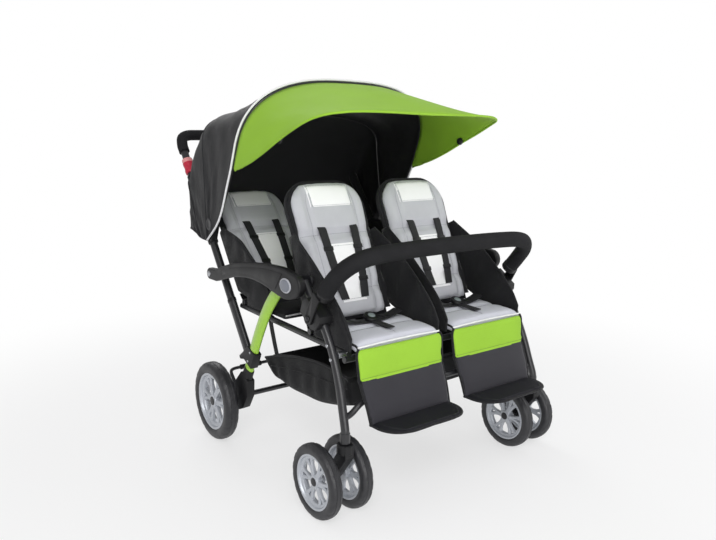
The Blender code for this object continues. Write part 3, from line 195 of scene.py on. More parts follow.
world = bpy.data.worlds.new("studio")
scene.world = world
world.use_nodes = True
WORLD_LIGHT = 0.50
world_nodes, world_links = world.node_tree.nodes, world.node_tree.links
sky_mix, sky_rays = world_nodes.new("ShaderNodeMixShader"), world_nodes.new("ShaderNodeLightPath")
skies = ((world_nodes["Background"], WORLD_LIGHT), (world_nodes.new("ShaderNodeBackground"), 1.0))
for number, (sky, strength) in enumerate(skies, 1):
    sky.inputs["Color"].default_value = (1, 1, 1, 1)
    sky.inputs["Strength"].default_value = strength
    world_links.new(sky.outputs[0], sky_mix.inputs[number])
world_links.new(sky_rays.outputs["Is Camera Ray"], sky_mix.inputs[0])
world_links.new(sky_mix.outputs[0], world_nodes["World Output"].inputs["Surface"])

for lamp_name, lamp_place, lamp_size, lamp_power in (
        ("lamp_front_left", (-2.1, -2.7, 2.6), 1.4, 52.0),
        ("lamp_low_front", (-0.9, -3.1, 0.95), 1.9, 30.0),
        ("lamp_right", (2.9, -1.2, 1.7), 2.0, 20.0),
        ("lamp_behind", (0.6, 2.8, 2.6), 2.0, 30.0)):
    lamp_data = bpy.data.lights.new(lamp_name, "AREA")
    lamp_data.energy = lamp_power
    lamp_data.size = lamp_size
    lamp = bpy.data.objects.new(lamp_name, lamp_data)
    lamp.location = lamp_place
    lamp.rotation_euler = (Vector((0, 0, 0.5)) - Vector(lamp_place)).to_track_quat("-Z", "Y").to_euler()
    scene.collection.objects.link(lamp)

# Front legs and cross tube
# Bent steel tube, 22 mm, powder coated black. A thinner tube welded across them
# bows forward and down to each leg, and steel pins hold the seat rails to them.
SIDES = {"left": 1, "right": -1}


def smooth_path(points, steps):
    """Points on a smooth curve through the given ones, with a few between each pair."""
    points = [Vector(p) for p in points]
    ends = [points[0] * 2 - points[1]] + points + [points[-1] * 2 - points[-2]]
    path = []
    for a, b, c, d in zip(ends, ends[1:], ends[2:], ends[3:]):
        length = (c - b).length
        leave = (c - a) * length / (length + (b - a).length)
        arrive = (d - b) * length / (length + (d - c).length)
        for step in range(steps):
            t = step / steps
            path.append(b * (2 * t ** 3 - 3 * t ** 2 + 1) + leave * (t ** 3 - 2 * t ** 2 + t)
                        + c * (3 * t ** 2 - 2 * t ** 3) + arrive * (t ** 3 - t ** 2))
    return path + [points[-1]]


def mirrored(points):
    """The points, then their mirror images, so that a path crosses the stroller."""
    return list(points) + [(-x, y, z) for x, y, z in reversed(points) if abs(x) > 1e-6]


def side_path(points, steps, x=0.0):
    """A smooth line through side-view points (y, z), at one place across the stroller."""
    return smooth_path([(x, y, z) for y, z in points], steps)


def steps(start, end, count):
    """Even steps from a start to an end, both taken."""
    return [start + (end - start) * t / count for t in range(count + 1)]


def placed(name, mesh):
    """An object at the origin that holds a mesh."""
    obj = bpy.data.objects.new(name, mesh)
    scene.collection.objects.link(obj)
    return obj


def from_bmesh(name, bm, finish, smooth_angle=35):
    """A piece from a mesh in the making, smooth but for its hard edges."""
    mesh = bpy.data.meshes.new(name)
    bm.to_mesh(mesh)
    bm.free()
    mesh.shade_smooth()
    mesh.set_sharp_from_angle(angle=radians(smooth_angle))
    mesh.materials.append(finish)
    return placed(name, mesh)


def drafted(vertices, faces, uvs=None):
    """A mesh in the making, with lengths of cloth in its UV map."""
    mesh = bpy.data.meshes.new("draft")
    mesh.from_pydata([tuple(v) for v in vertices], [], faces)
    if uvs is not None:
        layer = mesh.uv_layers.new(name="cloth")
        for loop in mesh.loops:
            layer.data[loop.index].uv = uvs[loop.vertex_index]
    bm = bmesh.new()
    bm.from_mesh(mesh)
    bpy.data.meshes.remove(mesh)
    return bm


def add_mesh(name, vertices, faces, finish, uvs=None, smooth_angle=40):
    """A closed mesh piece with its faces pointing outwards."""
    bm = drafted(vertices, faces, uvs)
    bmesh.ops.remove_doubles(bm, verts=bm.verts, dist=1e-6)
    bmesh.ops.recalc_face_normals(bm, faces=bm.faces)
    return from_bmesh(name, bm, finish, smooth_angle)


def joined(name, pieces):
    """Several mesh pieces made into one, their materials kept."""
    bm = bmesh.new()
    materials = []
    for piece in pieces:
        start = len(bm.faces)
        bm.from_mesh(piece.data)
        bm.faces.ensure_lookup_table()
        for face in bm.faces[start:]:
            material = piece.data.materials[face.material_index]
            if material not in materials:
                materials.append(material)
            face.material_index = materials.index(material)
        bpy.data.objects.remove(piece)
    mesh = bpy.data.meshes.new(name)
    bm.to_mesh(mesh)
    bm.free()
    for material in materials:
        mesh.materials.append(material)
    return placed(name, mesh)


def round_section(radius, sides=24, across=None):
    """A circle or an oval as (across, along) offsets from a tube's middle line."""
    across = across or radius
    return [(across * cos(2 * pi * i / sides), radius * sin(2 * pi * i / sides)) for i in range(sides)]


def tube_faces(rows, count):
    """Faces of a tube from rings of points, and of its two ends."""
    rings = [range(row * count, (row + 1) * count) for row in range(rows)]
    faces = [(a[k], a[(k + 1) % count], b[(k + 1) % count], b[k]) for a, b in zip(rings, rings[1:])
             for k in range(count)]
    return faces + [tuple(rings[0]), tuple(rings[-1])]


def sweep(name, path, section, finish, rounding=0.0, across=SIDEWAYS):
    """A tube: a section carried along a path, closed at both ends, with slightly rounded lips."""
    path = [Vector(p) for p in path]
    stations = [(p, 1.0) for p in path]
    if rounding:
        first, last = (path[1] - path[0]).normalized(), (path[-1] - path[-2]).normalized()
        shrink = 1 - rounding / max(abs(a) for a, b in section)
        stations[0] = (path[0] + first * rounding, 1.0)
        stations[-1] = (path[-1] - last * rounding, 1.0)
        stations = [(path[0], shrink)] + stations + [(path[-1], shrink)]
    vertices, uvs = [], []
    count = len(section)
    side, run = Vector(across), 0.0
    around = 2 * pi * max(abs(b) for a, b in section)
    for index, (middle, scale) in enumerate(stations):
        before, after = stations[max(index - 1, 0)][0], stations[min(index + 1, len(stations) - 1)][0]
        along = (after - before).normalized()
        side = (side - along * side.dot(along)).normalized()
        other = along.cross(side)
        run += (middle - before).length
        for k, (a, b) in enumerate(section):
            vertices.append(middle + (side * a + other * b) * scale)
            uvs.append((around * abs(2 * k / count - 1), run))
    return add_mesh(name, vertices, tube_faces(len(stations), count), finish, uvs)


def rod(name, start, end, radius, finish, rounding=0.001, sides=20):
    """A straight round bar with eased ends."""
    start, end = Vector(start), Vector(end)
    along = (end - start).normalized()
    across = UPWARD if abs(along.z) < 0.9 else SIDEWAYS
    path = [start, start.lerp(end, 0.5), end]
    return sweep(name, path, round_section(radius, sides), finish, rounding, across)


def fit(piece, body, replaces=()):
    """Place a finished piece on its body, if it has only one, and hide the solids it stands for."""
    if body:
        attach(piece, body)
    if replaces:
        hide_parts(*replaces)
    return piece


def shade(shown, factor, lift=0.004):
    """A paler or darker tone of a colour."""
    return tuple(min(1.0, c * factor + lift) for c in shown[:3]) + (1.0,)


def painted(name, shown, roughness=0.34, metallic=0.0, coat=0.25, texture=900.0):
    """Powder coat: an orange-peel surface with faint scuffs."""
    finish = Finish(name)
    place = finish.place()
    scuffs = finish.noise(place, 38.0, 4.0, 0.65).between(0.58, 0.80)
    colours = finish.mix(scuffs * 0.45, shown, shade(shown, 1.5, 0.012))
    return finish.made(colours, scuffs * 0.16 + roughness, finish.noise(place, texture, 1.0), 0.25, 0.0004,
                       Metallic=metallic, Coat_Weight=coat, Coat_Roughness=0.25)


FRAME_PAINT = painted("frame_black_paint", colour(32, 32, 35))
STEEL = painted("zinc_steel", colour(176, 178, 182), 0.28, 1.0, 0.0, 400.0)
TUBE_RADIUS = 0.011
FRONT_LEG_SIDE = [(-0.254, 0.582), (-0.294, 0.535), (-0.341, 0.485), (-0.382, 0.425), (-0.416, 0.352),
                  (-0.440, 0.280), (-0.453, 0.240), (-0.453, 0.226), (-0.453, 0.2053)]
LEG_TOP_Z, LEG_SPREAD_Z = 0.582, 0.240
LEG_X, LEG_SPREAD = 0.345, 0.014
FERRULE_RADIUS, CROSS_RADIUS = 0.0128, 0.008
for label, side in SIDES.items():
    leg_path = []
    for y, z in FRONT_LEG_SIDE:
        share = min(1, (LEG_TOP_Z - z) / (LEG_TOP_Z - LEG_SPREAD_Z)) ** 2
        leg_path.append((side * (LEG_X + LEG_SPREAD * share), y, z))
    leg = sweep("front_leg_tube_" + label, smooth_path(leg_path, 6), round_section(TUBE_RADIUS),
                FRAME_PAINT, 0.0015)
    fit(leg, "root", ["front_leg_" + label])
    ferrule_path = [(side * (LEG_X + LEG_SPREAD), -0.453, z) for z in (0.2065, 0.222, 0.234)]
    ferrule = sweep("front_leg_ferrule_" + label, ferrule_path, round_section(FERRULE_RADIUS), FRAME_PAINT,
                    0.001)
    fit(ferrule, "root")
cross_half = [(-0.353, -0.440, 0.264), (-0.330, -0.440, 0.272), (-0.300, -0.440, 0.292),
              (-0.255, -0.440, 0.304), (0, -0.440, 0.308)]
front_cross = sweep("front_cross_bar", smooth_path(mirrored(cross_half), 6), round_section(CROSS_RADIUS),
                    FRAME_PAINT, across=FORWARD)
fit(front_cross, "root", ["front_cross_tube"])

# Seat frame
# Three rails run front to back under both rows of seats. A tube joins them in front,
# and the two tubes on top of them carry the hinges of the seat backs.
RAIL_RADIUS = 0.009
RAIL_X, RAIL_FRONT_Y, RAIL_REAR_Y = 0.312, -0.405, 0.165
RAIL_SLOPE = 0.03467
HINGES = {"front": (-0.235, 0.437), "rear": (0.140, 0.450)}


def rail_z(y):
    """Height of the rails' middle line, which rises a little towards the rear."""
    return 0.420 + RAIL_SLOPE * (y + 0.235)


def frame_bar(start, end, finish=FRAME_PAINT):
    return rod("bar", start, end, RAIL_RADIUS, finish)


frame_tubes = [frame_bar((x, RAIL_FRONT_Y, rail_z(RAIL_FRONT_Y)), (x, RAIL_REAR_Y, rail_z(RAIL_REAR_Y)))
               for x in (-RAIL_X, 0, RAIL_X)]
for y, z in ((-0.396, rail_z(-0.396) - 0.016), *HINGES.values()):
    frame_tubes.append(frame_bar((-0.321, y, z), (0.321, y, z)))
for side in SIDES.values():
    stub = [(side * x, -0.395, rail_z(-0.395)) for x in (RAIL_X, 0.341)]
    frame_tubes.append(frame_bar(*stub, STEEL))
fit(joined("seat_frame_tubes", frame_tubes), "root", ["seat_frame"])

# Side hinge brackets
# A steel plate welded to the top of each front leg. Its two riveted pins
# carry the armrest and the rear leg.


def arc(centre, radius, start, end, count):
    """Points (y, z) of an arc between two angles in degrees."""
    angles = [radians(start + (end - start) * i / (count - 1)) for i in range(count)]
    return [(centre[0] + radius * cos(a), centre[1] + radius * sin(a)) for a in angles]


def bevelled(bm, width, segments, over):
    """Round a solid's edges that turn by more than an angle in degrees."""
    edges = [e for e in bm.edges if len(e.link_faces) == 2 and e.calc_face_angle(0) > radians(over)]
    bmesh.ops.bevel(bm, geom=edges, offset=width, segments=segments, profile=0.5, affect="EDGES",
                    clamp_overlap=True)


def eased(name, node, finish, width=0.0012, segments=2):
    """A copy of a node's solid with rounded edges."""
    bm = bmesh.new()
    bm.from_mesh(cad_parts[node].data)
    bmesh.ops.remove_doubles(bm, verts=bm.verts, dist=0.00002)
    bmesh.ops.dissolve_limit(bm, angle_limit=radians(1.5), verts=bm.verts, edges=bm.edges)
    bevelled(bm, width, segments, 30)
    bmesh.ops.triangulate(bm, faces=[f for f in bm.faces if len(f.verts) > 4])
    return from_bmesh(name, bm, finish)


def slab(near, far, width, segments, over):
    """A flat solid between two outlines, with rounded edges."""
    bm = bmesh.new()
    near, far = [bm.verts.new(p) for p in near], [bm.verts.new(p) for p in far]
    bm.faces.new(near)
    bm.faces.new(far[::-1])
    for a, b, c, d in zip(near, far, far[1:] + far[:1], near[1:] + near[:1]):
        bm.faces.new((a, b, c, d))
    bmesh.ops.recalc_face_normals(bm, faces=bm.faces)
    bevelled(bm, width, segments, over)
    return bm


def plate(name, outline, x_low, x_high, finish, rounding=0.002, segments=3, over=30):
    """A flat moulded or stamped piece from its side view, with rounded edges."""
    low, high = sorted((x_low, x_high))
    bm = slab([(low, y, z) for y, z in outline], [(high, y, z) for y, z in outline], rounding, segments, over)
    return from_bmesh(name, bm, finish)


def lathe(name, profile, centre, steps, finish, relief=None, smooth_angle=35, side=1):
    """A body turned about the X axis from a closed profile of (radius, offset outwards along x)."""
    vertices, faces = [], []
    count = len(profile)
    for step in range(steps):
        angle = 2 * pi * step / steps
        for radius, offset in profile:
            r = radius + (relief(angle, radius, offset) if relief else 0)
            vertices.append((centre[0] + side * offset, centre[1] + r * cos(angle),
                             centre[2] + r * sin(angle)))
        a, b = step * count, (step + 1) % steps * count
        faces += [(a + k, a + (k + 1) % count, b + (k + 1) % count, b + k) for k in range(count)]
    return add_mesh(name, vertices, faces, finish, None, smooth_angle)


def dome(name, centre, side, radius, height, finish, steps=20):
    """A rivet head or a round cap that faces outwards along x, on a short shank."""
    profile = [(radius * 0.02, -0.001), (radius, -0.001), (radius, height * 0.25),
               (radius * 0.92, height * 0.60),
               (radius * 0.70, height * 0.86), (radius * 0.35, height * 0.98), (radius * 0.02, height)]
    return lathe(name, profile, centre, steps, finish, None, 60, side)


ARMREST_PIVOT = (-0.221, 0.569)
BRACKET_INNER_X, BRACKET_OUTER_X = 0.3255, 0.3335
REAR_LEG_PIVOT = (-0.155, 0.560)
for label, side in SIDES.items():
    outline = arc((-0.254, 0.582), 0.016, 60, 230, 14) + arc(REAR_LEG_PIVOT, 0.017, -100, 70, 14)
    bracket = plate("side_plate_" + label, outline, side * BRACKET_INNER_X, side * BRACKET_OUTER_X,
                    FRAME_PAINT, 0.001, 2)
    parts = [bracket]
    for (y, z), reach in ((ARMREST_PIVOT, 0.3735), (REAR_LEG_PIVOT, 0.361)):
        parts.append(dome("rivet", (side * BRACKET_INNER_X, y, z), -side, 0.0075, 0.0028, STEEL))
        parts.append(rod("pin", (side * BRACKET_OUTER_X, y, z), (side * reach, y, z), 0.005, STEEL))
    fit(joined("side_hinge_" + label, parts), "root", ["side_bracket_" + label])

# Armrests
# Moulded black plastic arms that hinge on the brackets and carry the handle behind.
# A blank oval cap with a pale rim covers the front hinge, and a rivet the rear one.


def plastic(name, shown, roughness=0.48, grain=700.0, depth=0.0005):
    """Injection moulded plastic: fine spark-eroded grain, a little shinier where hands rub it."""
    finish = Finish(name)
    place = finish.place()
    rubbed = finish.noise(place, 14.0, 3.0, 0.6).between(0.42, 0.72)
    colours = finish.mix(rubbed * 0.5, shown, shade(shown, 1.22))
    return finish.made(colours, roughness - rubbed * 0.09, finish.noise(place, grain, 2.0, 0.6), 0.30, depth,
                       Specular_IOR_Level=0.35)


BLACK_PLASTIC = plastic("black_plastic_moulded", colour(20, 20, 22))
CAP_RIM = plastic("cap_rim_grey", colour(176, 178, 184), 0.32, 500.0, 0.0002)
CAP_FACE = plastic("cap_face_grey", colour(120, 124, 134), 0.25, 500.0, 0.0002)
HANDLE_PIVOT = (0.248, 0.531)
ARMREST_TOP = [(0.205, 0.551), (0.150, 0.570), (0.064, 0.591), (-0.037, 0.605), (-0.130, 0.612),
               (-0.204, 0.612), (-0.252, 0.604)]
ARMREST_BOTTOM = [(-0.262, 0.541), (-0.215, 0.530), (-0.165, 0.536), (-0.093, 0.551), (-0.016, 0.556),
                  (0.080, 0.545), (0.150, 0.528), (0.205, 0.513)]
ARMREST_INNER_X = 0.3615
ARMREST_OUTER_X = 0.3835


def side_curve(points, steps):
    """A smooth line through side-view points (y, z)."""
    return [(p.y, p.z) for p in side_path(points, steps)]


def oval(centre, radius, stretch, count=40):
    return [(centre[0] + radius * stretch * cos(2 * pi * i / count),
             centre[1] + radius * sin(2 * pi * i / count))
            for i in range(count)]


for label, side in SIDES.items():
    outline = side_curve(ARMREST_TOP, 4) + arc((-0.257, 0.573), 0.030, 105, 235, 16)
    outline += side_curve(ARMREST_BOTTOM, 4) + arc(HANDLE_PIVOT, 0.019, -72, 72, 14)
    arm = plate("arm", outline, side * ARMREST_INNER_X, side * ARMREST_OUTER_X, BLACK_PLASTIC, 0.0055, 4, 40)
    ridge_top = [(y, z - 0.013) for y, z in side_curve(ARMREST_TOP[1:6], 4)]
    ridge_low = [(y, z + 0.013) for y, z in side_curve(ARMREST_BOTTOM[2:7], 4)]
    surface = side * ARMREST_OUTER_X
    parts = [arm, plate("panel", ridge_top + ridge_low, surface - side * 0.001, surface + side * 0.0012,
                        BLACK_PLASTIC, 0.0008, 2, 50)]
    parts.append(rod("boss", (side * 0.3478, *HANDLE_PIVOT), (side * 0.364, *HANDLE_PIVOT), 0.013,
                     BLACK_PLASTIC))
    parts.append(dome("rivet", (surface, *HANDLE_PIVOT), side, 0.009, 0.003, STEEL))
    parts.append(plate("rim_ring", oval(ARMREST_PIVOT, 0.020, 1.35), surface - side * 0.001,
                       surface + side * 0.003,
                       CAP_RIM, 0.0012, 3, 50))
    parts.append(plate("face", oval(ARMREST_PIVOT, 0.0165, 1.42), surface, surface + side * 0.0042, CAP_FACE,
                       0.001, 3, 50))
    fit(joined("armrest_arm_" + label, parts), "armrests", ["armrest_" + label])

# Rear legs
# Oval tube, lacquered lime green. The black latch block round each leg
# holds the foot of the handle when the stroller is open.
LEG_GREEN = painted("leg_green_lacquer", colour(158, 205, 58), 0.30, 0.0, 0.4, 500.0)
REAR_LEG_SIDE = [REAR_LEG_PIVOT, (-0.124, 0.535), (-0.064, 0.470), (-0.018, 0.400), (0.018, 0.335),
                 (0.044, 0.285), (0.070, 0.235)]
REAR_LEG_X = 0.350
HANDLE_FOOT = Vector((0.0895, 0.306))
HANDLE_TOP = Vector((0.5562, 0.968))
HANDLE_DIRECTION = (HANDLE_TOP - HANDLE_FOOT).normalized()
HANDLE_NORMAL = Vector((-HANDLE_DIRECTION.y, HANDLE_DIRECTION.x))
down = (Vector(REAR_LEG_SIDE[5]) - Vector(REAR_LEG_SIDE[4])).normalized()
across = Vector((-down.y, down.x))
middle = Vector((0.031, 0.310))
seat = HANDLE_FOOT - HANDLE_DIRECTION * 0.004
block_outline = [middle - down * 0.022 - across * 0.024, middle - down * 0.022 + across * 0.023,
                 seat + HANDLE_NORMAL * 0.013, seat - HANDLE_NORMAL * 0.013,
                 seat - HANDLE_NORMAL * 0.013 - HANDLE_DIRECTION * 0.012,
                 middle + down * 0.034 + across * 0.023, middle + down * 0.034 - across * 0.024]
EYE = [(0.0053, -0.011), (0.0146, -0.011), (0.0154, -0.0096), (0.0154, 0.0096), (0.0146, 0.0107),
       (0.0053, 0.0107)]
for label, side in SIDES.items():
    path = side_path(REAR_LEG_SIDE, 6, side * REAR_LEG_X)
    parts = [sweep("leg", path, round_section(0.020, 32, 0.011), LEG_GREEN, 0.0015),
             lathe("eye", EYE, (side * REAR_LEG_X, *REAR_LEG_PIVOT), 28, LEG_GREEN),
             plate("block", [tuple(c) for c in block_outline], side * 0.3365, side * 0.3635, BLACK_PLASTIC,
                   0.003)]
    parts += [dome("screw", (side * 0.3635, *(middle + down * step)), side, 0.004, 0.002, STEEL)
              for step in (-0.012, 0.022)]
    fit(joined("rear_leg_tube_" + label, parts), "rear_legs", ["rear_leg_" + label])

# Wheel housings, rear cross tube and brake bar
# Black mouldings on the feet of the rear legs hold the axles. A steel tube ties
# them together, and the foot bar behind swings down to lock both rear wheels.
REAR_AXLE = (0.203, 0.125)
REAR_CROSS = (0.078, 0.172)
BRAKE_HINGE = (0.165, 0.150)
for label, side in SIDES.items():
    housing = eased("housing", "wheel_housing_" + label, BLACK_PLASTIC, 0.003, 3)
    cover = dome("cover", (side * 0.337, *REAR_AXLE), -side, 0.015, 0.003, BLACK_PLASTIC)
    foot_path = [(side * REAR_LEG_X, y, z) for y, z in ((0.0545, 0.2635), (0.0625, 0.2485), (0.0705, 0.2335))]
    socket = sweep("socket", foot_path, round_section(0.0225, 32, 0.0128), BLACK_PLASTIC, 0.002)
    parts = [housing, cover, socket]
    fit(joined("wheel_foot_" + label, parts), "rear_legs", ["wheel_housing_" + label])
cross = rod("rear_cross_bar", (-0.3367, *REAR_CROSS), (0.3367, *REAR_CROSS), CROSS_RADIUS, FRAME_PAINT)
fit(cross, "rear_legs", ["rear_cross_tube"])
brake_half = [(-0.3307, *BRAKE_HINGE), (-0.3307, 0.205, 0.184), (-0.3247, 0.231, 0.202),
              (-0.3007, 0.236, 0.206)]
parts = [sweep("wire", smooth_path(mirrored(brake_half), 5), round_section(0.0055, 18), FRAME_PAINT, 0.001)]
for side in SIDES.values():
    parts.append(rod("eye", (side * 0.3247, *BRAKE_HINGE), (side * 0.3367, *BRAKE_HINGE), 0.013,
                     BLACK_PLASTIC))
    pedal_path = [(side * x, 0.236, 0.206) for x in (0.290, 0.250, 0.210)]
    parts.append(sweep("pedal", pedal_path, round_section(0.0085, 20, 0.0075), BLACK_PLASTIC, 0.002, FORWARD))
fit(joined("brake_foot_bar", parts), "brake", ["brake_bar"])

# Wheels
# Dark grey foam-rubber tyres with a shallow tread, pressed on moulded silver-grey
# rims with paired spokes. The rear wheels are larger; the front ones turn in pairs.


def rubber():
    """Tyre rubber: matt, dusty in places, with a fine pore."""
    finish = Finish("tyre_rubber_grey")
    place = finish.place()
    dust = finish.noise(place, 26.0, 4.0, 0.6).between(0.40, 0.78)
    colours = finish.mix(dust * 0.5, colour(40, 40, 43), colour(66, 66, 69))
    return finish.made(colours, dust * 0.16 + 0.42, finish.noise(place, 620.0, 3.0, 0.6), 0.35, 0.0006)


def silver(name, shown, roughness):
    """Silver-grey paint over moulded plastic, with a fine metallic fleck."""
    finish = Finish(name)
    place = finish.place()
    fleck = finish.noise(place, 1400.0, 1.0, 0.5).between(0.35, 0.70)
    tone = finish.noise(place, 30.0, 2.0).between(0.30, 0.75)
    colours = finish.mix(fleck * 0.5 + tone * 0.3, shade(shown, 0.80, 0.0), shown)
    return finish.made(colours, tone * 0.10 + roughness, fleck, 0.10, 0.0002, Metallic=0.35, Coat_Weight=0.2)


def node_tree(name, inputs, kinds, settings, values, wires):
    """A geometry node tree that copies a shape: its named inputs, nodes, settings and wires."""
    tree = bpy.data.node_groups.new(name, "GeometryNodeTree")
    for title, kind in (("Geometry", "Geometry"), *inputs):
        tree.interface.new_socket(title, in_out="INPUT", socket_type="NodeSocket" + kind)
    tree.interface.new_socket("Geometry", in_out="OUTPUT", socket_type="NodeSocketGeometry")
    kinds = {"given": "NodeGroupInput", "made": "NodeGroupOutput", "copies": "GeometryNodeInstanceOnPoints",
             "real": "GeometryNodeRealizeInstances", "coat": "GeometryNodeSetMaterial", **kinds}
    nodes = {key: tree.nodes.new(kind) for key, kind in kinds.items()}
    for key, setting, value in settings:
        setattr(nodes[key], setting, value)
    for key, place, value in values:
        nodes[key].inputs[place].default_value = value
    wires += (("copies", 0, "real", 0), ("given", "Material", "coat", "Material"), ("coat", 0, "made", 0))
    for start, out, end, place in wires:
        tree.links.new(nodes[start].outputs[out], nodes[end].inputs[place])
    return tree


def applied(piece):
    """Keep what a piece's modifiers make of it as its plain mesh."""
    graph = bpy.context.evaluated_depsgraph_get()
    graph.update()
    piece.data = bpy.data.meshes.new_from_object(piece.evaluated_get(graph))
    piece.modifiers.clear()
    return piece


def grown(obj, tree, inputs):
    """Run a node tree on a piece with its named inputs and keep the result as a plain mesh."""
    modifier = obj.modifiers.new("grow", "NODES")
    modifier.node_group = tree
    named = {item.name: item.identifier for item in tree.interface.items_tree if item.in_out == "INPUT"}
    for name, value in inputs.items():
        modifier[named[name]] = value
    return applied(obj)


TYRE_RUBBER = rubber()
RIM_SILVER = silver("rim_silver_paint", colour(196, 200, 207), 0.36)
HUB_BLACK = plastic("hub_cap_black", colour(34, 34, 37), 0.40)
REPEAT_ROUND = node_tree(
    "repeat_round", (("Count", "Int"), ("Centre", "Vector"), ("Material", "Material")),
    {"to_centre": "ShaderNodeVectorMath", "to_axis": "GeometryNodeTransform",
     "from_axis": "GeometryNodeTransform",
     "line": "GeometryNodeMeshLine", "index": "GeometryNodeInputIndex", "share": "ShaderNodeMath",
     "turn": "ShaderNodeMath", "angle": "ShaderNodeCombineXYZ"},
    (("to_centre", "operation", "SCALE"), ("share", "operation", "DIVIDE"),
     ("turn", "operation", "MULTIPLY")),
    (("to_centre", "Scale", -1.0), ("line", "Offset", (0, 0, 0)), ("turn", 1, 2 * pi)),
    (("given", "Centre", "to_centre", 0), ("given", "Geometry", "to_axis", "Geometry"),
     ("to_centre", 0, "to_axis", "Translation"), ("given", "Count", "line", "Count"),
     ("index", 0, "share", 0),
     ("given", "Count", "share", 1), ("share", 0, "turn", 0), ("turn", 0, "angle", 0),
     ("line", 0, "copies", "Points"), ("to_axis", 0, "copies", "Instance"),
     ("angle", 0, "copies", "Rotation"),
     ("real", 0, "from_axis", "Geometry"), ("given", "Centre", "from_axis", "Translation"),
     ("from_axis", 0, "coat", "Geometry")))
TREAD_DEPTH = 0.0012
REAR_WHEEL_X, CASTER_X, TWIN_HALF_GAP = 0.395, 0.359, 0.0475
FRONT_AXLE = (-0.397, 0.097)
REAR_RADIUS, REAR_RIM_RADIUS, REAR_WIDTH = 0.125, 0.091, 0.045
FRONT_RADIUS, FRONT_RIM_RADIUS, FRONT_WIDTH = 0.097, 0.072, 0.034
SPOKE_PAIRS = 6
SPOKE_STATIONS = ((0.0, 0.10, -0.26, 0.50), (0.25, 0.070, -0.16, 0.40), (0.6, 0.062, -0.08, 0.34),
                  (0.85, 0.075, -0.10, 0.36), (1.0, 0.10, -0.20, 0.42))


def tyre(name, centre, outer, rim_radius, width):
    """A round-shouldered tyre with two grooves and slanted cuts across its shoulders."""
    half = width / 2
    wall = outer - rim_radius
    shares = ((0.06, 0.86), (0.14, 0.93), (0.32, 0.995), (0.50, 1.0), (0.66, 0.965), (0.78, 0.885),
              (0.87, 0.77), (0.94, 0.61))
    upper = [(rim_radius - 0.001, half * 0.78)] + [(rim_radius + wall * a, half * b) for a, b in shares]
    upper += [(outer - drop, half * b) for drop, b in
              ((0.0009, 0.45), (0.0003, 0.36), (0.0001, 0.30), (0.0, 0.24), (0.0, 0.12))]
    profile = upper + [(radius, -offset) for radius, offset in reversed(upper)]
    cuts = round(outer * 190)

    def relief(angle, radius, offset):
        across = abs(offset) / half
        if radius < rim_radius + wall * 0.60:
            ring = abs(radius - (rim_radius + wall * 0.32)) < wall * 0.02
            return -0.0004 if ring else 0.0
        groove = abs(across - 0.30) < 0.05
        slant = sin(cuts * angle + 4.5 * offset / half)
        notch = slant > 0.55 and across > 0.40
        return -TREAD_DEPTH if groove or notch else 0.0

    return lathe(name, profile, centre, cuts * 8, TYRE_RUBBER, relief, 28)


def rim(name, centre, radius, width, side, spokes):
    """Barrel and hub turned in one, paired spokes repeated round the axle, and a dark cap."""
    half = width / 2
    hub, barrel = radius * 0.24, radius * 0.80
    ring = [(barrel, half * 0.30), (barrel + 0.0015, half * 0.42), (radius * 0.90, half * 0.52),
            (radius * 0.93, half * 0.80), (radius * 0.965, half * 0.86), (radius, half * 0.84),
            (radius, -half * 0.84), (radius * 0.965, -half * 0.86), (radius * 0.93, -half * 0.80),
            (radius * 0.88, -half * 0.30), (barrel, -half * 0.22)]
    parts = [lathe("ring", ring, centre, 72, RIM_SILVER, side=side)]
    boss = [(0.004, half * 0.56), (hub * 0.80, half * 0.62), (hub * 0.96, half * 0.56),
            (hub * 1.02, half * 0.40),
            (hub * 1.06, -half * 0.30), (hub * 0.90, -half * 0.94), (0.004, -half * 0.96)]
    parts.append(lathe("boss", boss, centre, 40, RIM_SILVER, side=side))
    bm = bmesh.new()
    for lean in (-1, 1):
        rows = []
        for share, wide, low, high in SPOKE_STATIONS:
            r = hub * 0.92 + (barrel * 1.04 - hub * 0.92) * share
            angle = lean * (0.055 + 0.145 * share ** 1.4)
            middle = Vector((0, r * cos(angle), r * sin(angle)))
            across = Vector((0, -sin(angle), cos(angle))) * (radius * wide)
            section = [(-1, low), (-1, high - 0.10), (-0.55, high), (0.55, high), (1, high - 0.10), (1, low)]
            rows.append([bm.verts.new(Vector(centre) + middle + across * a + Vector((side * half * x, 0, 0)))
                         for a, x in section])
        for first, second in zip(rows, rows[1:]):
            for k in range(6):
                bm.faces.new((first[k], first[(k + 1) % 6], second[(k + 1) % 6], second[k]))
        bm.faces.new(rows[0])
        bm.faces.new(rows[-1][::-1])
    bmesh.ops.recalc_face_normals(bm, faces=bm.faces)
    spoke = from_bmesh("spoke", bm, RIM_SILVER, 30)
    parts.append(grown(spoke, REPEAT_ROUND, {"Count": spokes, "Centre": centre, "Material": RIM_SILVER}))
    cap = [(0.0005, half * 0.70), (hub * 0.40, half * 0.695), (hub * 0.62, half * 0.66),
           (hub * 0.68, half * 0.56), (0.0005, half * 0.56)]
    parts.append(lathe("cap", cap, centre, 32, HUB_BLACK, side=side))
    return joined(name, parts)


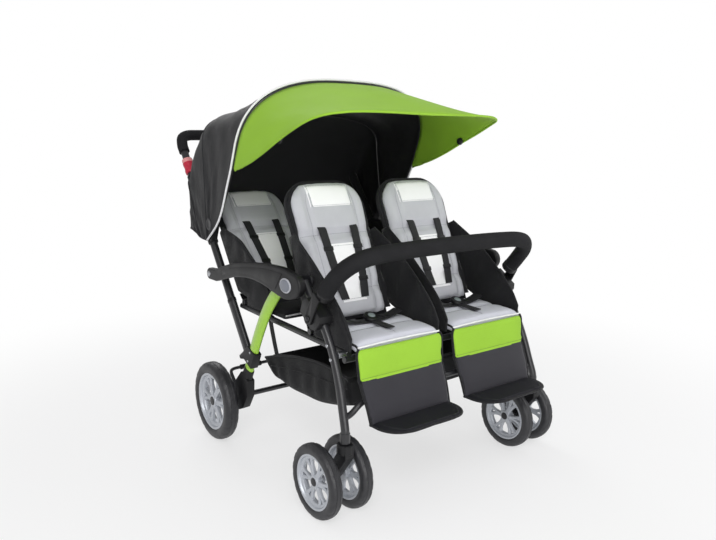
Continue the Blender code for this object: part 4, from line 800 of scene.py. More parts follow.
for label, side in SIDES.items():
    centre = (side * REAR_WHEEL_X, *REAR_AXLE)
    body = "rear_wheel_" + label
    rubber_ring = tyre("rear_tyre_rubber_" + label, centre, REAR_RADIUS, REAR_RIM_RADIUS, REAR_WIDTH)
    fit(rubber_ring, body, ["rear_tyre_" + label])
    spoked = rim("rear_wheel_rim_" + label, centre, REAR_RIM_RADIUS, REAR_WIDTH, side, SPOKE_PAIRS)
    fit(spoked, body, ["rear_rim_" + label])
    for place, away in (("outer", side), ("inner", -side)):
        centre = (side * CASTER_X + away * TWIN_HALF_GAP, *FRONT_AXLE)
        ending = "%s_%s" % (label, place)
        body = "front_wheel_" + ending
        rubber_ring = tyre("front_tyre_rubber_" + ending, centre, FRONT_RADIUS, FRONT_RIM_RADIUS, FRONT_WIDTH)
        fit(rubber_ring, body, ["front_tyre_" + ending])
        spoked = rim("front_wheel_rim_" + ending, centre, FRONT_RIM_RADIUS, FRONT_WIDTH, away, SPOKE_PAIRS)
        fit(spoked, body, ["front_rim_" + ending])

# Casters
# A black moulded fork trails the axle behind its swivel. The round collar on top
# covers the bearing under the front leg.
for label, side in SIDES.items():
    fork = eased("fork", "caster_fork_" + label, BLACK_PLASTIC, 0.0025, 3)
    collar_path = [(side * CASTER_X, -0.453, z) for z in (0.1785, 0.188, 0.196, 0.2045)]
    collar = sweep("collar", collar_path, round_section(0.0205, 32), BLACK_PLASTIC, 0.003)
    fit(joined("caster_block_" + label, [fork, collar]), "caster_" + label,
        ["caster_fork_" + label])

# Handle
# A tall black tube in a U, hinged on the armrests. Its oval feet stand on the latch
# blocks, black foam covers the top, and red release grips slide on its two legs.


def foam(name, shown):
    """Closed-cell foam grip: matt, with an open pore and soft dents."""
    finish = Finish(name)
    place = finish.place()
    worn = finish.noise(place, 22.0, 3.0, 0.6).between(0.40, 0.75)
    pores = finish.node("ShaderNodeTexVoronoi", {"feature": "F1"}, {"Vector": place, "Scale": 520.0})
    return finish.made(finish.mix(worn * 0.6, shown, shade(shown, 1.35)), worn * 0.08 + 0.74,
                       pores * 0.7 + finish.noise(place, 60.0, 2.0) * 0.6, 0.55, 0.0010,
                       Specular_IOR_Level=0.2)


FOAM_BLACK = foam("foam_black_grip", colour(27, 27, 29))
RELEASE_RED = plastic("release_red_moulded", colour(190, 44, 66), 0.36)
COLLAR_PINK = plastic("release_collar_pale", colour(222, 150, 150), 0.42)
HANDLE_X = 0.335
HANDLE_LENGTH = (HANDLE_TOP - HANDLE_FOOT).length
FOAM_START = HANDLE_LENGTH - 0.072
ALONG = Vector((0, HANDLE_DIRECTION.x, HANDLE_DIRECTION.y))


def on_handle(distance):
    place = HANDLE_FOOT + HANDLE_DIRECTION * distance
    return place.x, place.y


def handle_path(start):
    distances = (start, (start + HANDLE_LENGTH - 0.060) / 2, HANDLE_LENGTH - 0.060, HANDLE_LENGTH - 0.045,
                 HANDLE_LENGTH - 0.012)
    xs = (HANDLE_X, HANDLE_X, HANDLE_X, HANDLE_X, HANDLE_X - 0.010)
    half = [(-x, *on_handle(d)) for x, d in zip(xs, distances)] + [(-HANDLE_X + 0.045, *HANDLE_TOP)]
    return smooth_path(mirrored(half), 6)


parts = [sweep("tube", handle_path(0.155), round_section(0.0125, 28), FRAME_PAINT, across=FORWARD)]
for side in SIDES.values():
    foot = [(side * HANDLE_X, *on_handle(d)) for d in (0.0, 0.06, 0.12, 0.175)]
    parts.append(sweep("foot", foot, round_section(0.017, 32, 0.0123), FRAME_PAINT, 0.002))
    lip = [(side * HANDLE_X, *on_handle(d)) for d in (0.168, 0.174, 0.180)]
    parts.append(sweep("lip", lip, round_section(0.0178, 32, 0.0131), BLACK_PLASTIC, 0.0015))
fit(joined("handle_bar", parts), "handle", ["handle_tube"])
foam_grip = sweep("handle_grip_foam", handle_path(FOAM_START), round_section(0.018, 32), FOAM_BLACK, 0.003,
                  FORWARD)
fit(foam_grip, "handle", ["handle_foam"])
GRIP_FOOT = FOAM_START - 0.086
GRIP_BORE = 0.0130
GRIP_STATIONS = ((0.0150, 0.0), (0.0172, 0.0012), (0.0182, 0.004), (0.0184, 0.012), (0.0172, 0.016),
                 (0.0166, 0.022), (0.0172, 0.028), (0.0182, 0.033), (0.0184, 0.040), (0.0176, 0.045),
                 (0.0180, 0.050), (0.0174, 0.0548), (0.0150, 0.056))
handle_turn = Matrix((ALONG, SIDEWAYS, ALONG.cross(SIDEWAYS))).transposed().to_4x4()
for label, side in SIDES.items():
    parts = []
    for name, finish, low, high in (("grip", RELEASE_RED, 0.0, 0.041), ("collar", COLLAR_PINK, 0.040, 0.056)):
        used = [(r, d) for r, d in GRIP_STATIONS if low <= d <= high]
        profile = [(GRIP_BORE, used[0][1])] + used + [(GRIP_BORE, used[-1][1])]
        parts.append(lathe(name, profile, (0, 0, 0), 32, finish, None, 40))
        place = Vector((side * HANDLE_X, *on_handle(GRIP_FOOT)))
        parts[-1].data.transform(Matrix.Translation(place) @ handle_turn)
    fit(joined("release_sleeve_" + label, parts), "release_grip_" + label,
        ["release_grip_" + label])

# Bumper bar
# A foam covered bar across the front. Flat arms at its ends turn on moulded sockets
# clamped to the front legs, and a round button in each releases it.
BUMPER_PIVOT = (-0.312, 0.497)
LEG_RIVETS = ((0.358, -0.3738, 0.437), (0.3593, -0.3913, 0.405))
bumper_half = [(-0.349, -0.350, 0.560), (-0.349, -0.378, 0.592), (-0.337, -0.414, 0.631),
               (-0.294, -0.440, 0.660), (-0.200, -0.446, 0.6695), (0, -0.447, 0.672)]
parts = [sweep("foam", smooth_path(mirrored(bumper_half), 7), round_section(0.0225, 36), FOAM_BLACK, 0.003,
               FORWARD)]


def bored(piece, tool):
    """Cut a tool out of a piece."""
    modifier = piece.modifiers.new("hole", "BOOLEAN")
    modifier.operation, modifier.solver, modifier.object = "DIFFERENCE", "EXACT", tool
    applied(piece)
    bpy.data.objects.remove(tool)
    return piece


toward = (Vector((-0.378, 0.592)) - Vector((-0.350, 0.560))).normalized()
across = Vector((-toward.y, toward.x))
foot = Vector((-0.350, 0.560)) + toward * 0.002
for side in SIDES.values():
    outline = [tuple(foot + across * 0.015), tuple(foot - across * 0.015)]
    outline += arc(BUMPER_PIVOT, 0.017, 40, -140, 20)
    arm = plate("arm", outline, side * 0.3698, side * 0.3758, BLACK_PLASTIC, 0.0015, 3, 40)
    bore = rod("bore", (side * 0.360, *BUMPER_PIVOT), (side * 0.385, *BUMPER_PIVOT), 0.0084, BLACK_PLASTIC)
    parts.append(bored(arm, bore))
    cup = [(side * 0.349, *(foot + toward * d)) for d in (-0.007, 0.003, 0.013)]
    parts.append(sweep("cup", cup, round_section(0.0232, 36), BLACK_PLASTIC, 0.0025))
fit(joined("bumper_foam_bar", parts), "bumper", ["bumper_bar"])
for label, side in SIDES.items():
    socket = eased("socket", "bumper_socket_" + label, BLACK_PLASTIC, 0.0025, 3)
    fit(socket, "root", ["bumper_socket_" + label])
    socket.name = "bumper_clamp_" + label
    button = dome("button", (side * 0.3735, *BUMPER_PIVOT), side, 0.0078, 0.0060, HUB_BLACK, 28)
    stem = rod("stem", (side * 0.3712, *BUMPER_PIVOT), (side * 0.374, *BUMPER_PIVOT), 0.0076, HUB_BLACK)
    rivets = [dome("rivet", (side * x, y, z), side, 0.0048, 0.0022, STEEL) for x, y, z in LEG_RIVETS]
    fit(joined("front_leg_rivets_" + label, rivets), "root")
    push = joined("bumper_push_" + label, [button, stem])
    fit(push, "bumper_button_" + label, ["bumper_button_" + label])

# Seat backs
# Each back is a stiff board in a charcoal cloth sleeve, bound round its edge and
# hinged on a tube of the frame by two knuckles.


def cloth(name, shown, pitch=0.0011, sheen=0.15, roughness=0.78, crease=0.35, by_uv=True, depth=0.0005,
          tone=0.16):
    """Woven polyester: warp and weft, slubs in the yarn, and soft uneven creases."""
    finish = Finish(name)
    place = finish.place()
    u, v, w = finish.split(finish.uv() if by_uv else place)
    turns = 2 * pi / pitch
    warp, weft = (u * turns).sine(), (v * turns).sine()
    weave = warp * weft if by_uv else warp * weft + (w * turns).sine() * (weft + warp) * 0.5
    slub = finish.noise(place, 260.0, 2.0, 0.6)
    blotch = finish.noise(place, 9.0, 3.0, 0.6).between(0.30, 0.72)
    share = (weave * 0.16 + slub * 0.5 + blotch * 0.45).clamp()
    colours = finish.mix(share, shade(shown, 1 - tone, 0.0), shade(shown, 1 + tone * 0.6, 0.002))
    large_folds = finish.noise(place, 16.0, 2.0, 0.5) * crease * 6
    folds = large_folds + finish.noise(place, 48.0, 2.0, 0.5) * crease * 2
    return finish.made(colours, roughness - slub * 0.08, weave * 0.5 + slub * 0.6 + folds, 0.5, depth,
                       Sheen_Weight=sheen, Sheen_Roughness=0.4, Specular_IOR_Level=0.25)


CHARCOAL = cloth("charcoal_cloth_weave", colour(33, 33, 37))
BINDING = cloth("binding_black", colour(27, 27, 30), 0.0016, by_uv=False, crease=0.1)
SEAT_X = 0.166
LEANS = {"front": radians(24.0), "rear": radians(40.5)}


def seat_axes(row):
    """Hinge, direction up the back and direction out of its face, in the side view."""
    lean = LEANS[row]
    return Vector(HINGES[row]), Vector((sin(lean), cos(lean))), Vector((-cos(lean), sin(lean)))


def on_back(row, x, s, n):
    """A point on a seat back: s up from the hinge and n out of its front face."""
    hinge, rise, out = seat_axes(row)
    place = hinge + rise * s + out * n
    return Vector((x, place.x, place.y))


def rounded_half(width_low, width_high, start, end, radius, count=10):
    """Half outline (x, s): sides that widen upward and a round top corner."""
    corner = [(width_high - radius + radius * cos(radians(90 * i / (count - 1))),
               end - radius + radius * sin(radians(90 * i / (count - 1)))) for i in range(count)]
    side = [(width_low + (width_high - width_low) * (i / 6) * 0.93, start + (end - radius - start) * i / 6)
            for i in range(6)]
    return [(width_low, start)] + side[1:] + corner


def cord_along(name, points, radius, across=SIDEWAYS, finish=BINDING, sides=8):
    """Piping: a thin round welt along points."""
    return sweep(name, points, round_section(radius, sides), finish, 0.0, across)


def cloth_map(bm, place):
    """A UV map in metres of cloth, from a place for each point."""
    layer = bm.loops.layers.uv.new("cloth")
    for face in bm.faces:
        for loop in face.loops:
            loop[layer].uv = place(loop.vert.co)


def mirrored_half(half):
    """A whole outline from its right half."""
    return half + [(-a, s) for a, s in reversed(half)]


def board(name, row, x, half, n_low, n_high, finish, rounding):
    """A flat piece in the plane of a seat back, from half of its outline."""
    outline = mirrored_half(half)
    near, far = [[on_back(row, x + a, s, n) for a, s in outline] for n in (n_low, n_high)]
    bm = slab(near, far, rounding, 3, 50)
    cloth_map(bm, lambda co: (co.x, co.z * 1.1))
    return from_bmesh(name, bm, finish, 50)


KNUCKLE = [(0.0099, -0.012), (0.0130, -0.012), (0.0138, -0.0108), (0.0138, 0.0108), (0.0130, 0.012),
           (0.0099, 0.012)]
BACK_HALF = rounded_half(0.120, 0.138, 0.0125, 0.430, 0.088)
for row in HINGES:
    for label, side in SIDES.items():
        x = side * SEAT_X
        body = "back_%s_%s" % (row, label)
        parts = [board("board", row, x, BACK_HALF, -0.010, 0.0, CHARCOAL, 0.004)]
        for away in (0.090, -0.090):
            parts.append(lathe("knuckle", KNUCKLE, (x + away, *HINGES[row]), 28, BLACK_PLASTIC))
        welt = [on_back(row, x + a * 0.985, s if s < 0.05 else s - 0.002, 0.0005)
                for a, s in mirrored_half(BACK_HALF)]
        parts.append(cord_along("welt", welt, 0.0030, FORWARD))
        flap = mirrored_half([(a * 0.80, 0.05 + (s - 0.0125) * 0.62) for a, s in BACK_HALF])
        seam = [on_back(row, x + a, s, -0.0100) for a, s in flap + flap[:1]]
        parts.append(cord_along("seam", seam, 0.0012, FORWARD, sides=6))
        fit(joined("back_sleeve_%s_%s" % (row, label), parts), body,
            ["back_shell_%s_%s" % (row, label)])

# Back pads
# Quilted light grey covers over foam, sewn across in two channels and down both sides,
# bound in charcoal. Blank white patches lie over the head and between the shoulder straps.


def pillow(u, v, edge=0.30, power_u=4, power_v=6):
    """Share of a pad's full thickness: low at its sewn edge and crowned between."""
    across = sqrt(max(0.0, 1 - abs(u) ** power_u))
    along = sqrt(max(0.0, 1 - abs(2 * v - 1) ** power_v))
    return edge + (1 - edge) * across * along


def channel(value, place, width):
    """1 in the middle of a sewn channel, falling smoothly to 0 at its shoulders."""
    near = max(0.0, 1 - abs(value - place) / width)
    return near * near * (3 - 2 * near)


def pad_mesh(name, top_at, low_at, columns, rows, finish, smooth_angle=80):
    """A closed pad from a front and a flat back face: top_at and low_at give points for u and v."""
    vertices = [point_at(2 * i / columns - 1, j / rows) for point_at in (top_at, low_at)
                for j in range(rows + 1)
                for i in range(columns + 1)]
    wide = columns + 1
    offset = wide * (rows + 1)
    faces = []
    for a in (j * wide + i for j in range(rows) for i in range(columns)):
        faces.append((a, a + 1, a + 1 + wide, a + wide))
        faces.append((offset + a + wide, offset + a + 1 + wide, offset + a + 1, offset + a))
    edge = list(range(columns)) + [j * wide + columns for j in range(rows)]
    edge += [rows * wide + i for i in range(columns, 0, -1)] + [j * wide for j in range(rows, 0, -1)]
    faces += [(b, a, a + offset, b + offset) for a, b in zip(edge, edge[1:] + edge[:1])]
    return add_mesh(name, vertices, faces, finish, None, smooth_angle)


PUFF_STEPS = 14
PUFF_CLOTH = {"quality": 5, "mass": 0.3, "use_pressure": True, "tension_stiffness": 18,
              "compression_stiffness": 12, "bending_stiffness": 0.6}


def puffed(piece, pressure, cap, held=None, voxel=0.0055):
    """Inflate a pad by a short cloth simulation, up to a cap and less where stitches hold."""
    piece.data.shade_smooth()
    remesh = piece.modifiers.new("even", "REMESH")
    remesh.mode, remesh.voxel_size = "VOXEL", voxel
    applied(piece)
    rest = [v.co.copy() for v in piece.data.vertices]
    sim = piece.modifiers.new("puff", "CLOTH")
    for setting, value in PUFF_CLOTH.items():
        setattr(sim.settings, setting, value)
    sim.settings.uniform_pressure_force = pressure
    sim.settings.effector_weights.gravity = 0.0
    sim.point_cache.frame_start, sim.point_cache.frame_end = 1, 20
    for step in range(1, PUFF_STEPS + 1):
        scene.frame_set(step)
    moved = piece.evaluated_get(bpy.context.evaluated_depsgraph_get()).data
    for vertex, start, now in zip(piece.data.vertices, rest, [v.co.copy() for v in moved.vertices]):
        step = now - start
        limit = cap * (1 - held(start)) if held else cap
        vertex.co = start + step * min(1.0, limit / max(step.length, 1e-9))
    piece.modifiers.clear()
    scene.frame_set(1)
    piece.data.shade_smooth()
    return piece


def cloth_of(pad):
    """Search tree of a finished pad's surface, to lay seams and patches on it."""
    return BVHTree.FromPolygons([v.co for v in pad.data.vertices], [p.vertices for p in pad.data.polygons])


def laid(tree, point, direction, lift):
    """The place on a pad under a point, lift above its cloth."""
    hit = tree.ray_cast(point + direction * 0.05, -direction, 0.10)[0]
    return (hit or point) + direction * lift


def pressed(piece, low_point, normal, keep=0.0002):
    """Lay a pad flat on what it rests on: no point goes below that plane."""
    for vertex in piece.data.vertices:
        depth = (vertex.co - low_point).dot(normal)
        if depth < keep:
            vertex.co += normal * (keep - depth)


def softened(piece, levels=1):
    """One applied level of subdivision."""
    modifier = piece.modifiers.new("soft", "SUBSURF")
    modifier.levels = modifier.render_levels = levels
    applied(piece).data.shade_smooth()
    return piece


PAD_START, PAD_END = 0.018, 0.422
BACK_PAD_THICKNESS = 0.034
BACK_CHANNELS, SIDE_CHANNEL = (0.19, 0.60), 0.66
STRAP_LINE = ((0.286, 0.056, 0.020), (0.282, 0.0555, 0.030), (0.272, 0.055, 0.0345), (0.23, 0.0525, 0.0355),
              (0.18, 0.048, 0.0355), (0.14, 0.0445, 0.0355), (0.10, 0.040, 0.0350), (0.066, 0.034, 0.0340))


def back_width(v):
    """Half width of a back pad: narrower at the hips, with a round top."""
    s = PAD_START + (PAD_END - PAD_START) * v
    width = 0.112 + 0.018 * v
    over = s - (PAD_END - 0.080)
    if over > 0:
        width -= 0.080 - sqrt(max(0.0, 0.080 ** 2 - min(over, 0.0799) ** 2))
    return width


def back_height(u, v):
    share = pillow(u, v, 0.34)
    for place in BACK_CHANNELS:
        share -= 0.26 * channel(v, place, 0.055)
    for place in (-SIDE_CHANNEL, SIDE_CHANNEL):
        share -= 0.14 * channel(u, place, 0.10)
    return BACK_PAD_THICKNESS * max(share, 0.24)


def pad_rise(v):
    return 1 - (1 - v) ** 1.15


def strip(name, points, normals, half_width, thickness, finish, crown=0.0, across=SIDEWAYS):
    """A flat strap along points, its width across, with soft edges and length in its UV map."""
    section = [(-1, -0.5), (-1, 0.35), (-0.93, 0.5), (-0.4, 0.5 + crown), (0.4, 0.5 + crown), (0.93, 0.5),
               (1, 0.35), (1, -0.5)]
    vertices, uvs = [], []
    run = 0.0
    for index, (point, normal) in enumerate(zip(points, normals)):
        run += (Vector(point) - Vector(points[max(index - 1, 0)])).length
        for a, b in section:
            vertices.append(Vector(point) + across * (half_width * a) + Vector(normal) * (thickness * b))
            uvs.append((half_width * a, run))
    return add_mesh(name, vertices, tube_faces(len(points), len(section)), finish, uvs, 60)


STITCH_PITCH = 0.0055
STITCHES = node_tree(
    "stitches_along", (("Pitch", "Float"), ("Length", "Float"), ("Thickness", "Float"),
                       ("Material", "Material")),
    {"line": "GeometryNodeMeshToCurve", "even": "GeometryNodeResampleCurve",
     "thread": "GeometryNodeMeshCylinder",
     "tangent": "GeometryNodeInputTangent", "align": "FunctionNodeAlignEulerToVector"},
    (("even", "mode", "LENGTH"), ("align", "axis", "Z")), (("thread", "Vertices", 5),),
    (("given", "Geometry", "line", "Mesh"), ("line", 0, "even", "Curve"),
     ("given", "Pitch", "even", "Length"),
     ("given", "Thickness", "thread", "Radius"), ("given", "Length", "thread", "Depth"),
     ("tangent", 0, "align", "Vector"), ("even", 0, "copies", "Points"),
     ("thread", "Mesh", "copies", "Instance"),
     ("align", 0, "copies", "Rotation"), ("real", 0, "coat", "Geometry")))


def stitched(name, lines, finish, thickness=0.0007, pitch=STITCH_PITCH):
    """Rows of stitches along lines of points, as one plain mesh."""
    vertices, edges = [], []
    for line in lines:
        start = len(vertices)
        vertices += [tuple(p) for p in line]
        edges += [(start + i, start + i + 1) for i in range(len(line) - 1)]
    mesh = bpy.data.meshes.new(name)
    mesh.from_pydata(vertices, edges, [])
    inputs = {"Pitch": pitch, "Length": pitch * 0.62, "Thickness": thickness, "Material": finish}
    obj = grown(placed(name, mesh), STITCHES, inputs)
    if not obj.data.materials:
        obj.data.materials.append(finish)
    return obj


def webbing(name, shown):
    """Woven strap: coarse ribs across its length."""
    finish = Finish(name)
    u, v = finish.split(finish.uv())[:2]
    rib = (v * (2 * pi / 0.0022)).sine()
    yarn = (u * (2 * pi / 0.0016)).sine()
    fuzz = finish.noise(finish.place(), 300.0, 2.0, 0.6)
    colours = finish.mix((rib * 0.25 + fuzz * 0.6).clamp(), shown, shade(shown, 1.9))
    return finish.made(colours, fuzz * 0.15 + 0.62, rib + yarn * 0.4, 0.5, 0.0004)


STRAP_BLACK = webbing("webbing_black", colour(23, 23, 26))
PLAIN_BLACK = cloth("black_cloth_plain", colour(25, 25, 28), by_uv=False)
GREY_CLOTH = cloth("grey_cloth_weave", colour(196, 197, 203), 0.0014, 0.1, 0.82, 0.30, False, 0.0005, 0.10)
PATCH_WHITE = cloth("patch_white", colour(250, 250, 252), 0.0016, 0.05, 0.7, 0.22, False, 0.0003, 0.05)
THREAD_GREY = cloth("thread_grey", colour(140, 141, 150), 0.0008, by_uv=False, crease=0.0)
THREAD_BLACK = cloth("thread_black", colour(58, 58, 62), 0.0008, by_uv=False, crease=0.0)
for row in HINGES:
    for label, side in SIDES.items():
        x = side * SEAT_X
        ending = "%s_%s" % (row, label)
        body = "back_" + ending
        hinge, rise, out = seat_axes(row)
        normal = Vector((0, out.x, out.y))

        def span(v):
            return PAD_START + (PAD_END - PAD_START) * pad_rise(v)

        def top_at(u, v):
            v_real = pad_rise(v)
            return on_back(row, x + back_width(v_real) * u * 0.99, span(v), back_height(u, v_real) * 0.90)

        def low_at(u, v):
            return on_back(row, x + back_width(pad_rise(v)) * u * 0.99, span(v), 0.0006)

        pad = pad_mesh("back_quilt_" + ending, top_at, low_at, 28, 36, GREY_CLOTH)

        def back_held(place):
            s = (Vector(place.yz) - hinge).dot(rise)
            v, u = (s - PAD_START) / (PAD_END - PAD_START), (place.x - x) / 0.125
            return max([channel(v, c, 0.055) for c in BACK_CHANNELS] + [channel(abs(u), SIDE_CHANNEL, 0.12)])

        puffed(pad, 3.0, 0.0035, back_held)
        pressed(pad, on_back(row, x, 0, 0), normal)
        softened(pad)
        back_cloth = cloth_of(pad)
        fit(pad, body, ["back_pad_" + ending])

        def on_pad(u, v, lift):
            s = PAD_START + (PAD_END - PAD_START) * v
            return laid(back_cloth, on_back(row, x + back_width(v) * u * 0.99, s, back_height(u, v) * 0.9),
                        normal, lift)

        trims = []
        for away in (1, -1):

            def skirt_at(u, v, lift=0.001):
                s = 0.030 + 0.255 * v
                inner = 0.116 + 0.055 * (s - 0.0125)
                taper = channel(min(v, 0.999), 1.0, 0.30)
                outer = 0.1440 + (inner + 0.004 - 0.1440) * taper
                fold = sin(v * 21 + u * 2.5) * 0.0014 * (1 - taper)
                return on_back(row, x + away * (inner + (outer - inner) * (u + 1) / 2), s,
                               -0.0045 + fold + lift)

            def skirt_low(u, v):
                return skirt_at(u, v, -0.001)

            first, second = (skirt_at, skirt_low) if away > 0 else (skirt_low, skirt_at)
            trims.append(pad_mesh("side_cloth", first, second, 4, 24, PLAIN_BLACK))
        for low_v, high_v, half_x, name in ((0.800, 0.966, 0.074, "head_patch"),
                                            (0.10, 0.52, 0.041, "middle_patch")):

            def patch_at(a, b, lift):
                """A place on the patch: a from -1 to 1 across it, b from 0 to 1 up it."""
                v = low_v + (high_v - low_v) * b
                return on_pad(a * min(0.93, half_x / back_width(v)), v, lift)

            def patch_top(a, b):
                return patch_at(a, b, 0.0018 - 0.0014 * max(abs(a), abs(2 * b - 1)) ** 6)

            trims.append(pad_mesh(name, patch_top, lambda a, b: patch_at(a, b, -0.0008), 12, 12,
                                  PATCH_WHITE, 70))
            rim_line = [patch_at(0.93 * a, 0.5 + 0.46 * b, 0.0018) for a, b in
                        [(t, -1) for t in steps(-1, 1, 10)] + [(1, t) for t in steps(-1, 1, 10)]
                        + [(t, 1) for t in steps(1, -1, 10)] + [(-1, t) for t in steps(1, -1, 10)]]
            trims.append(stitched("patch_seam", [rim_line], THREAD_GREY, 0.0005))
        seams = [[on_pad(u, place, 0.0003) for u in steps(-0.96, 0.96, 20)] for place in BACK_CHANNELS]
        seams += [[on_pad(place, v, 0.0003) for v in steps(0.04, 0.94, 24)]
                  for place in (-SIDE_CHANNEL, SIDE_CHANNEL)]
        trims.append(stitched("channel_seams", seams, THREAD_GREY))
        rim_points = [on_back(row, x + back_width(v), PAD_START + (PAD_END - PAD_START) * v, 0.0042)
                      for v in steps(0, 1, 24)]
        rim_points += [Vector((2 * x - p.x, p.y, p.z)) for p in reversed(rim_points)]
        trims.append(cord_along("rim_welt", rim_points, 0.0036, FORWARD))
        fit(joined("back_trim_" + ending, trims), body)

        straps = []
        for strap_side in (1, -1):
            points = [on_back(row, x + strap_side * dx, s, n) for s, dx, n in STRAP_LINE]
            normals = [normal] * len(points)
            straps.append(strip("shoulder_strap", points, normals, 0.013, 0.0026, STRAP_BLACK, 0.1))
            for s, dx in ((0.215, 0.0513), (0.120, 0.0423)):
                half = [(0.0155, s - 0.006), (0.0155, s + 0.006)]
                straps.append(board("slider", row, x + strap_side * dx, half, 0.0340, 0.0385, BLACK_PLASTIC,
                                    0.0012))
        fit(joined("shoulder_straps_" + ending, straps), body)

# Seat pads and wings
# Foam pads on the rails, grey on top with white piping along the front edge and a black
# border, and a black cloth wing on each side that rises to the side of the seat back.
# The rear pads are drawn dark charcoal as painted shade of the canopy over the rear row.
SEAT_PADS = {"front": (-0.4316, -0.2505), "rear": (-0.087, 0.1245)}
SEAT_HALF = 0.149
WING = [(0.0155, -0.009), (0.180, -0.014), (0.184, 0.014), (0.160, 0.054), (0.118, 0.099), (0.066, 0.144),
        (0.010, 0.187)]
WING_TOP = 0.270
LAVENDER = cloth("seat_grey_weave", colour(208, 209, 219), 0.0014, 0.1, 0.80, 0.30, False, 0.0005, 0.08)
# Painted shade: the rear seat cushions take this dark charcoal cloth in place of the grey one, for the
# canopy's shade over the rear row.
REAR_SEAT_PAINTED_SHADE = cloth("rear_seat_weave_painted_shade", colour(44, 44, 49), 0.0013, by_uv=False)
BLACK_CLOTH = cloth("black_cloth_weave", colour(25, 25, 28))
PIPING_WHITE = cloth("piping_white", colour(236, 236, 238), 0.0010, 0.1, 0.6, 0.05, False, 0.0002, 0.04)


def pad_floor(y):
    return rail_z(y) + 0.0096


def wing_outline(row):
    """Side view of a wing, as in the solids."""
    hinge, rise, out = seat_axes(row)
    reach = 1.0 if row == "front" else 0.92
    points = []
    for dy, dz in WING:
        point = Vector((-dy * reach, dz))
        if dz > 0.02:
            point = Matrix.Rotation((LEANS["front"] - LEANS[row]) * 0.6, 2) @ point
        points.append(tuple(hinge + point + Vector((0, 0.006))))
    points[:2] = [(y, rail_z(y) + 0.0089) for y, z in points[:2]]
    top = hinge + rise * WING_TOP
    ending = [top + out * 0.020, top - out * 0.012, hinge + rise * 0.05 - out * 0.016,
              hinge + Vector((-0.0155, 0.018))]
    return points, [tuple(p) for p in ending]


def thickened(piece, thickness, offset):
    """Give a sheet of cloth its thickness."""
    modifier = piece.modifiers.new("thick", "SOLIDIFY")
    modifier.thickness, modifier.offset = thickness, offset
    return applied(piece)


def wing(row, x, away):
    """A cloth side panel: a thin sheet with slack that bellies outwards a little."""
    points, ending = wing_outline(row)
    edge = points[:2] + side_curve(points[2:] + ending[:1], 5) + ending[1:]
    bm = bmesh.new()
    base = bm.faces.new([bm.verts.new((0, y, z)) for y, z in edge])
    bmesh.ops.triangulate(bm, faces=[base])
    for _ in range(3):
        long_edges = [e for e in bm.edges if e.calc_length() > 0.030]
        bmesh.ops.subdivide_edges(bm, edges=long_edges, cuts=1)
        bmesh.ops.triangulate(bm, faces=list(bm.faces))
    bmesh.ops.beautify_fill(bm, faces=list(bm.faces), edges=[e for e in bm.edges if not e.is_boundary])
    hinge, rise, out = seat_axes(row)

    def side_x(y, z):
        """The wing's plane, drawn in to the back's edge at its top."""
        place = Vector((y, z)) - hinge
        risen = min(1.0, max(0.0, place.dot(rise) / WING_TOP)) ** 1.5
        return x + away * (SEAT_HALF - 0.010 * risen * max(0.0, 1 - place.dot(out) / 0.12))

    for vert in bm.verts:
        _, y, z = vert.co
        slack = 0.0010 + sin(y * 71 + z * 33) * 0.0020 + sin(y * 120 - z * 64) * 0.0009
        vert.co.x = side_x(y, z) + (0.0 if vert.is_boundary else away * slack)
    bmesh.ops.recalc_face_normals(bm, faces=bm.faces)
    cloth_map(bm, lambda co: (co.y, co.z))
    sheet = thickened(from_bmesh("wing", bm, BLACK_CLOTH, 80), 0.0022, 0.0)
    rim = [(side_x(y, z), y, z) for y, z in edge[1:-3]]
    return [sheet, cord_along("wing_binding", rim, 0.0026)]


def seat_height(u, v):
    """Top of a seat pad over its underside: crowned, rounded over in front, with a channel across."""
    share = pillow(u, v, 0.40, 5, 7)
    share -= 0.16 * channel(v, 0.50, 0.09) + 0.10 * channel(u, 0.0, 0.08) * (v > 0.1)
    return 0.030 * max(share, 0.3)


